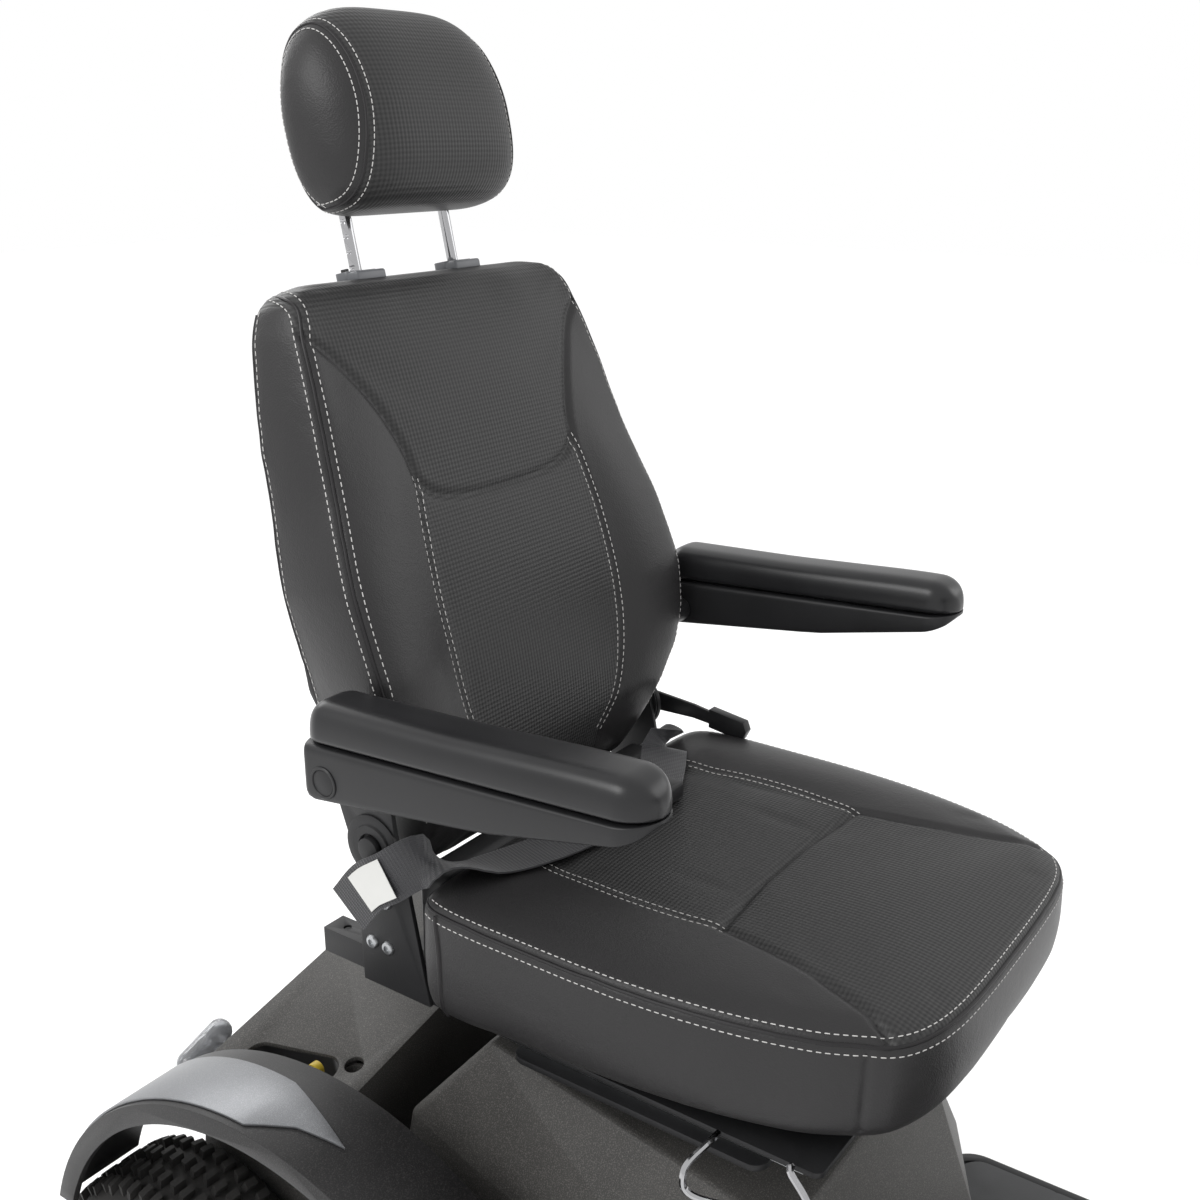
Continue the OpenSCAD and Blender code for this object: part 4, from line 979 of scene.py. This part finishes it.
def shell_ring(side, y):
    k, top = plan_share(y, 9), parting(y) - 0.4
    low = np.interp(y, [6, 14, 153, 335, 350], [875, 870, 839, 815, 819])
    low = top - (top - low) * max(0.25, k)
    half, mid = (ARM_HALF - 0.2) * k, (top + low) / 2
    tall = (top - low) / 2
    ring = []
    for a in np.linspace(0, 2 * math.pi, 40, endpoint=False):
        c, s = math.cos(a), math.sin(a)
        ring.append(mm(side * (ARM_MIDDLE + half * math.copysign(abs(c) ** 0.22, c)), y,
            mid + tall * math.copysign(abs(s) ** 0.22, s)))
    return np.array(ring)

for side, s in (("right", -1), ("left", 1)):
    pad = skin("arm_top_" + side, [pad_ring(s, y) for y in arm_ys])
    finer = pad.modifiers.new("finer", "SUBSURF")
    finer.levels = finer.render_levels = 1
    apply_modifiers(pad)
    dress(pad, "arm_" + side, "pad_black", arm_skin, "arm_pad_" + side, angle=50)
    shell = skin("arm_body_" + side, [shell_ring(s, y) for y in arm_ys])
    dress(shell, "arm_" + side, "plastic_black", satin_black, "arm_shell_" + side, angle=40)
    print(pad.name, "and", shell.name, "made")

# %% [markdown]
# ## Lap belt
# Each half of the belt is one strap of 48 mm webbing. It is a strip of squares that follows a smooth middle
# line, with the direction across the strap given along it, and a thickness of 1.6 mm. Its UV map is in
# millimetres, for the ribs.

# %% Lap belt
def strap(name, route, width, thick=1.6):
    """route: (point, direction across) pairs in mm"""
    mid = smooth_line([p for p, _ in route], 6.0)
    counts = [max(2, int(np.linalg.norm(np.array(b[0]) - a[0]) / 6.0)) for a, b in zip(route, route[1:])]
    dirs = []
    for (_, a), (_, b), n in zip(route, route[1:], counts):
        dirs += [np.array(a) * (1 - t) + np.array(b) * t for t in np.linspace(0, 1, n, endpoint=False)]
    dirs.append(np.array(route[-1][1]))
    run = np.gradient(mid, axis=0)
    far = np.concatenate([[0], np.cumsum(np.linalg.norm(np.diff(mid, axis=0), axis=1))])
    verts, faces, cols = [], [], 7
    for p, d, r in zip(mid, dirs, run):
        r = r / np.linalg.norm(r)
        d = d - r * np.dot(d, r)
        d /= np.linalg.norm(d)
        verts += [(p + d * width * (k / (cols - 1) - 0.5)) * MM for k in range(cols)]
    for i in range(len(mid) - 1):
        for k in range(cols - 1):
            a = i * cols + k
            faces.append((a, a + 1, a + cols + 1, a + cols))
    o = mesh_piece(name, verts, faces)
    uv = o.data.uv_layers.new(name="weave")
    for loop in o.data.loops:
        i, k = divmod(loop.vertex_index, cols)
        uv.data[loop.index].uv = (width * k / (cols - 1), far[i])
    body = o.modifiers.new("thickness", "SOLIDIFY")
    body.thickness = thick * MM
    body.offset = 0
    apply_modifiers(o)
    return o, far[-1] * MM

upright = (0, 0.72, 0.69)
right_route = [((-237, 372, 668), upright), ((-238, 345, 700), upright),
    ((-237, 322, 716), (-0.1, 0.75, 0.64)),
    ((-222, 288, 738), (-0.4, 0.86, 0.3)), ((-180, 262, 722), (-0.42, 0.9, 0)),
    ((-120, 240, 718), (-0.42, 0.9, 0)),
    ((-50, 222, 720), (-0.42, 0.9, 0))]
left_route = [((178, 327, 640), (1, 0, 0)), ((178, 326, 684), (1, 0, 0)), ((174, 310, 707), (0.98, 0.2, 0)),
    ((156, 284, 716), (0.9, 0.4, 0)), ((110, 254, 718), (0.5, 0.86, 0)), ((50, 222, 720), (0.42, 0.9, 0))]
for name, route in (("lap_belt_right", right_route), ("lap_belt_left", left_route)):
    belt, length = strap(name, route, 48)
    dress(belt, "seat", "webbing", webbing_weave, *(["lap_belt"] if name.endswith("right") else []), angle=60)
    print(name, "is", round(length, 3), "m long")

# %% Plain tag on the belt
tag_white = finish("tag_white", (0.62, 0.62, 0.6), 0.6, mottle=0.04, grain=(900, 0.2, 0.0001))
tag, _ = strap("belt_tag", [((-240.2, 353, 691), upright), ((-240.6, 341, 703), upright),
    ((-240.0, 318, 719), upright)],
    38, 0.5)
dress(tag, "seat", "webbing", tag_white, angle=60)
print("tag made")

# %% [markdown]
# ## Turned parts
# Caps, rings and discs are all turned shapes. The half section is drawn as a few points, a radius and a
# distance along the axis, and spun round.

# %% Turned shapes
def turned(name, section, place, axis="x", steps=48):
    """section: (radius, distance along the axis) in mm; place in mm"""
    bpy.ops.object.select_all(action="DESELECT")
    bpy.ops.mesh.primitive_circle_add(vertices=len(section), radius=1)
    o = bpy.context.object
    for v, (r, d) in zip(o.data.vertices, section):
        v.co = (0, r * MM, d * MM)
    bpy.ops.object.mode_set(mode="EDIT")
    bpy.ops.mesh.select_all(action="SELECT")
    bpy.ops.mesh.spin(steps=steps, angle=2 * math.pi, center=(0, 0, 0), axis=(0, 0, 1))
    bpy.ops.mesh.select_all(action="SELECT")
    bpy.ops.mesh.remove_doubles(threshold=0.00003)
    bpy.ops.mesh.normals_make_consistent(inside=False)
    bpy.ops.object.mode_set(mode="OBJECT")
    way = {"x": (0, math.pi / 2, 0), "-x": (0, -math.pi / 2, 0), "z": (0, 0, 0), "y": (-math.pi / 2, 0, 0),
           "-y": (math.pi / 2, 0, 0)}[axis]
    o.rotation_euler = way
    o.location = mm(*place) if not isinstance(place, Vector) else place
    return settle(o, name)

def joined(parts, name):
    pick(*parts)
    bpy.ops.object.join()
    parts[0].name = name
    return parts[0]

pivot_y, pivot_z = 321.1, 836.1
for side, s in (("right", -1), ("left", 1)):
    out = "x" if s > 0 else "-x"
    cap = turned("arm_cap_" + side, [(11.4, -2), (14.2, -2),
        (14.4, 0.6), (13.6, 1.3), (12.0, 1.3), (11.4, 0.6)],
        (s * 303.4, pivot_y, pivot_z), out)
    dress(cap, "arm_" + side, "plastic_black", satin_black)
    disc = turned("hinge_disc_" + side, [(14, -3), (31, -3), (32, -1), (32, 1.6),
        (30, 2.4), (23, 2.4), (22, 4.2),
        (15, 4.2), (14, 3.4)], (s * 214.4, 358, 726), out)
    dress(disc, "back", "frame_black", powder_coat)
print("caps and hinge discs made")

# %% Hub caps and wheel nuts
def hex_nuts(centre, ring_radius, count, size, name):
    parts = []
    for k in range(count):
        a = 2 * math.pi * (k + 0.5) / count
        place = Vector(centre) + mm(0, ring_radius * math.cos(a), ring_radius * math.sin(a))
        bpy.ops.object.select_all(action="DESELECT")
        bpy.ops.mesh.primitive_cylinder_add(vertices=6, radius=size * MM,
            depth=size * 0.9 * MM, location=place,
            rotation=(0, math.pi / 2, 0))
        o = bpy.context.object
        chamfer = o.modifiers.new("chamfer", "BEVEL")
        chamfer.width = size * 0.12 * MM
        chamfer.segments = 2
        apply_modifiers(o)
        parts.append(o)
    return settle(joined(parts, name), name)

for end, x, y, z, bore in (("rear", 305, 572, 162, 134), ("front", 290, -560, 135, 100)):
    for side, s in (("right", -1), ("left", 1)):
        face = s * (x + bore * 0.14 + 8)
        out = "x" if s > 0 else "-x"
        cap = turned(f"{end}_hub_cap_{side}", [(0, 6), (0, 22), (12, 21),
            (20, 17), (23, 10), (24, 0), (21, 0)],
            (face + s * 12, y, z), out)
        dress(cap, f"{end}_wheel_{side}", "alloy", cast_alloy)
        nuts = hex_nuts(mm(face + s * 3.4, y, z), 38, 5, 8.5, f"{end}_wheel_nuts_{side}")
        dress(nuts, f"{end}_wheel_{side}", "zinc", zinc)
print("hub caps and nuts made")

# %% [markdown]
# ## Small fittings
# The freewheel lever stands in a slot with a dark pocket below it. Screws hold the deck, the recliner
# plates and the front bumper, and a collar closes the back's top round each headrest post.

# %% Slot pocket, collars and screws
def slot_pocket():
    bpy.ops.object.select_all(action="DESELECT")
    bpy.ops.mesh.primitive_circle_add(vertices=64, radius=1)
    o = bpy.context.object
    for v in o.data.vertices:
        a = math.atan2(v.co.y, v.co.x)
        v.co = (18.4 * math.cos(a) * MM, (18.4 * math.sin(a) + math.copysign(36.6, math.sin(a))) * MM, 0)
    bpy.ops.object.mode_set(mode="EDIT")
    bpy.ops.mesh.select_all(action="SELECT")
    bpy.ops.mesh.extrude_region_move(TRANSFORM_OT_translate={"value": (0, 0, -0.034)})
    bpy.ops.object.mode_set(mode="OBJECT")
    wall = o.modifiers.new("wall", "SOLIDIFY")
    wall.thickness = 0.0016
    wall.offset = 1
    apply_modifiers(o)
    o.rotation_euler = (math.radians(-3), math.radians(-12), math.radians(14))
    o.location = mm(-221, 490, 437.5)
    return settle(o, "slot_pocket")

dress(slot_pocket(), "base", "plastic_black", satin_black)

def soft_block(name, low, high, radius, segments=4):
    """a box between two corners in mm, with round edges"""
    bpy.ops.object.select_all(action="DESELECT")
    bpy.ops.mesh.primitive_cube_add(size=1)
    o = bpy.context.object
    low, high = np.array(low, float), np.array(high, float)
    set_points(o, ((points_of(o) + 0.5) * (high - low) + low) * MM)
    edge = o.modifiers.new("edge", "BEVEL")
    edge.width = radius * MM
    edge.segments = segments
    apply_modifiers(o)
    return settle(o, name)

skirt = soft_block("seat_rear_skirt", (-198, 288, 606), (150, 322, 709), 9)
dress(skirt, "seat", "leather_black", powder_coat)
for side, s in (("right", -1), ("left", 1)):
    collar = soft_block("post_collar_" + side, (-19, -14, -6), (19, 13, 4), 2.6)
    collar.data.transform(Matrix.Translation(Vector(on_back(s * 68, 18, 506)))
        @ Matrix.Rotation(-BACK_LEAN, 4, "X"))
    dress(collar, "back", "guide_grey", guide_grey)

wire_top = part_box("slide_release")[1][2] / MM - 4
wire = smooth_line([(-210, -8, wire_top), (-226, -8, wire_top + 1), (-249, 0, wire_top - 14),
    (-246, -12, wire_top - 36), (-222, -92, wire_top - 28),
    (-216, -76, wire_top), (-210, -74, wire_top)], 3.0) * MM
dress(cord_mesh("slide_wire", [wire], 0.003), "slide_catch", "chrome", chrome, "slide_release")

def screw(place, normal, radius=6.0):
    """a round screw head with a socket, standing on a surface"""
    head = turned("screw", [(0, -2), (radius, -2), (radius, 0.6), (radius * 0.82, 2.4), (radius * 0.45, 2.9),
        (radius * 0.42, 0.8), (0, 0.6)], (0, 0, 0), "z", 24)
    turn = Vector(normal).to_track_quat("Z", "Y").to_matrix().to_4x4()
    head.data.transform(Matrix.Translation(Vector(place)) @ turn)
    return head

rear_screws = joined([screw(mm(x, 711.6, 300), (0, 1, 0.2)) for x in (-130, 130)], "deck_screws")
dress(rear_screws, "base", "zinc", zinc)
plate_screws = joined([screw(mm(s * 209.4, y, z), (s, 0, 0), 7) for s in (-1, 1)
    for y, z in ((352, 620), (372, 620), (352, 668), (372, 668))], "recliner_screws")
dress(plate_screws, "seat", "zinc", zinc)
bumper_screws = joined([screw(mm(x, -745.0, 168), (0, -1, 0)) for x in (-120, 120)], "bumper_screws")
dress(bumper_screws, "base", "zinc", zinc)
print("small fittings made")

# %% [markdown]
# ## Tyres
# A tyre is a closed section spun round the axle. The tread is one Z-shaped block, cut from a small grid,
# extruded and bevelled. It is then bent onto the crown of the tyre again and again, in rows that are
# staggered.

# %% One tread block
def tread_block():
    """a Z-shaped block about 1 x 1 in plan and 1 high, as points and faces"""
    bpy.ops.object.select_all(action="DESELECT")
    bpy.ops.mesh.primitive_grid_add(x_subdivisions=3, y_subdivisions=3, size=1)
    o = bpy.context.object
    drop = [p.index for p in o.data.polygons if (p.center.x < -0.2 and p.center.y < 0.2) or
            (p.center.x > 0.2 and p.center.y > -0.2)]
    bpy.ops.object.mode_set(mode="EDIT")
    bpy.ops.mesh.select_all(action="DESELECT")
    bpy.ops.object.mode_set(mode="OBJECT")
    for i in drop:
        o.data.polygons[i].select = True
    bpy.ops.object.mode_set(mode="EDIT")
    bpy.ops.mesh.select_mode(type="FACE")
    bpy.ops.mesh.delete(type="FACE")
    bpy.ops.mesh.select_all(action="SELECT")
    bpy.ops.mesh.extrude_region_move(TRANSFORM_OT_translate={"value": (0, 0, 1)})
    bpy.ops.transform.resize(value=(0.86, 0.86, 1))
    bpy.ops.object.mode_set(mode="OBJECT")
    co = points_of(o)
    co[:, 0] += co[:, 1] * 0.35
    shape = (co.copy(), [tuple(p.vertices) for p in o.data.polygons])
    bpy.data.objects.remove(o)
    return shape

block_points, block_faces = tread_block()
print("one tread block has", len(block_faces), "faces")

# %% Tyres
def tyre(node, body):
    low, high = [np.array(v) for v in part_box(node)]
    centre, radius, width = (low + high) / 2, (high - low)[2] / 2, (high - low)[0]
    rim = 0.076 if radius > 0.15 else 0.066
    tread = 0.009
    profile = []
    for a in np.linspace(0, 2 * math.pi, 36, endpoint=False):
        c, s = math.cos(a), math.sin(a)
        r_mid, r_half = (radius - tread + rim) / 2, (radius - tread - rim) / 2
        profile.append((width / 2 * 0.985 * math.copysign(abs(c) ** 0.55, c),
            r_mid + r_half * math.copysign(abs(s) ** 0.62, s)))
    bpy.ops.object.select_all(action="DESELECT")
    bpy.ops.mesh.primitive_circle_add(vertices=36, radius=1)
    o = bpy.context.object
    for v, (x, r) in zip(o.data.vertices, profile):
        v.co = (x, 0, r)
    bpy.ops.object.mode_set(mode="EDIT")
    bpy.ops.mesh.select_all(action="SELECT")
    bpy.ops.mesh.spin(steps=88, angle=2 * math.pi, center=(0, 0, 0), axis=(1, 0, 0))
    bpy.ops.mesh.select_all(action="SELECT")
    bpy.ops.mesh.remove_doubles(threshold=0.00005)
    bpy.ops.mesh.normals_make_consistent(inside=False)
    bpy.ops.object.mode_set(mode="OBJECT")
    crown_half = width * 0.40

    def crown(x):
        u = np.clip(np.abs(x) / (width / 2 * 0.985), 0, 0.999)
        s = np.sqrt(1 - (u ** (1 / 0.55)) ** 2)
        return (radius - tread + rim) / 2 + (radius - tread - rim) / 2 * s ** 0.62

    verts, faces = [], []
    around = int(2 * math.pi * radius / 0.034)
    rows = [(-0.75, 0.5), (-0.26, 0.0), (0.26, 0.5), (0.75, 0.0)]
    for place, shift in rows:
        for k in range(around):
            first = len(verts)
            across = place * crown_half + block_points[:, 0] * width * 0.185
            turn = 2 * math.pi * (k + shift) / around + block_points[:, 1] * 0.030 / radius
            foot = crown(across) - 0.002
            top = np.minimum(radius, crown(across) + tread)
            r = np.where(block_points[:, 2] > 0.5, top, foot)
            verts.extend(np.column_stack([across, r * np.sin(turn), r * np.cos(turn)]))
            faces.extend([tuple(first + i for i in f) for f in block_faces])
    knobs = mesh_piece(node + "_knobs", verts, faces)
    pick(knobs)
    bpy.ops.object.mode_set(mode="EDIT")
    bpy.ops.mesh.select_all(action="SELECT")
    bpy.ops.mesh.normals_make_consistent(inside=False)
    bpy.ops.object.mode_set(mode="OBJECT")
    pick(o, knobs)
    bpy.ops.object.join()
    o.data.transform(Matrix.Translation(Vector(centre)))
    settle(o, node + "_treaded")
    dress(o, body, "tyre_black", tyre_rubber, node, angle=35)
    return o

for end in ("rear", "front"):
    for side in ("right", "left"):
        made = tyre(end + "_tyre_" + side, end + "_wheel_" + side)
        print(made.name, "faces:", len(made.data.polygons))

# %% [markdown]
# ## Handlebar grips
# A grip is a rubber sleeve with raised rings. A cylinder is cut across at even steps, and every other ring
# of faces is drawn inwards, so that the rings stand up.

# %% Grips
def grips():
    parts = []
    for s in (-1, 1):
        bpy.ops.object.select_all(action="DESELECT")
        bpy.ops.mesh.primitive_cylinder_add(vertices=32, radius=0.016, depth=0.125,
            rotation=(0, math.pi / 2, 0))
        o = bpy.context.object
        settle(o, "grip")
        bpy.ops.object.mode_set(mode="EDIT")
        for k in range(1, 20):
            bpy.ops.mesh.select_all(action="SELECT")
            bpy.ops.mesh.bisect(plane_co=(-0.0625 + 0.00625 * k, 0, 0), plane_no=(1, 0, 0))
        bpy.ops.object.mode_set(mode="OBJECT")
        for v in o.data.vertices:
            k = round((v.co.x + 0.0625) / 0.00625)
            if k % 2:
                v.co.y *= 0.9
                v.co.z *= 0.9
        place = Matrix.Translation(on_tiller(s * 210.5, 0, 442))
        o.data.transform(place)
        parts.append(o)
    pick(*parts)
    bpy.ops.object.join()
    return dress(parts[0], "tiller", "rubber_black", soft_rubber, "handlebar_grips", angle=60)

grips().name = "grips"

# %% [markdown]
# ## Studio
# A plain pale floor, a bright even world and three large soft lamps. The strongest stands high at the
# right, and the largest stands behind.

# %% Floor and light
bpy.ops.object.select_all(action="DESELECT")
bpy.ops.mesh.primitive_plane_add(size=30, location=(0, 0, -0.0005))
floor = settle(bpy.context.object, "studio_floor")
floor_paint = finish("floor_paint", (0.92, 0.92, 0.92), 0.7, mottle=0.01, grain=(60, 0.02, 0.0002),
    Emission_Color=(1, 1, 1, 1), Emission_Strength=0.14)
floor.data.materials.append(floor_paint)

world = bpy.data.worlds.new("studio")
bpy.context.scene.world = world
world.use_nodes = True
world.node_tree.nodes["Background"].inputs["Color"].default_value = (1, 1, 1, 1)
world.node_tree.nodes["Background"].inputs["Strength"].default_value = 1.0

def lamp(name, place, target, size, power):
    data = bpy.data.lights.new(name, "AREA")
    data.shape = "RECTANGLE"
    data.size, data.size_y = size
    data.energy = power
    o = bpy.data.objects.new(name, data)
    bpy.context.scene.collection.objects.link(o)
    o.location = place
    o.rotation_euler = (Vector(target) - Vector(place)).to_track_quat("-Z", "Y").to_euler()
    return o

lamp("key", (-2.2, 0.9, 2.6), (0, 0.1, 0.8), (1.6, 1.2), 34)
lamp("fill", (2.6, -1.8, 2.2), (0, 0.1, 0.7), (2.0, 1.4), 16)
lamp("back", (0.8, 3.0, 2.4), (0, 0.1, 0.9), (2.4, 1.2), 28)
bpy.context.scene.view_settings.view_transform = "Standard"
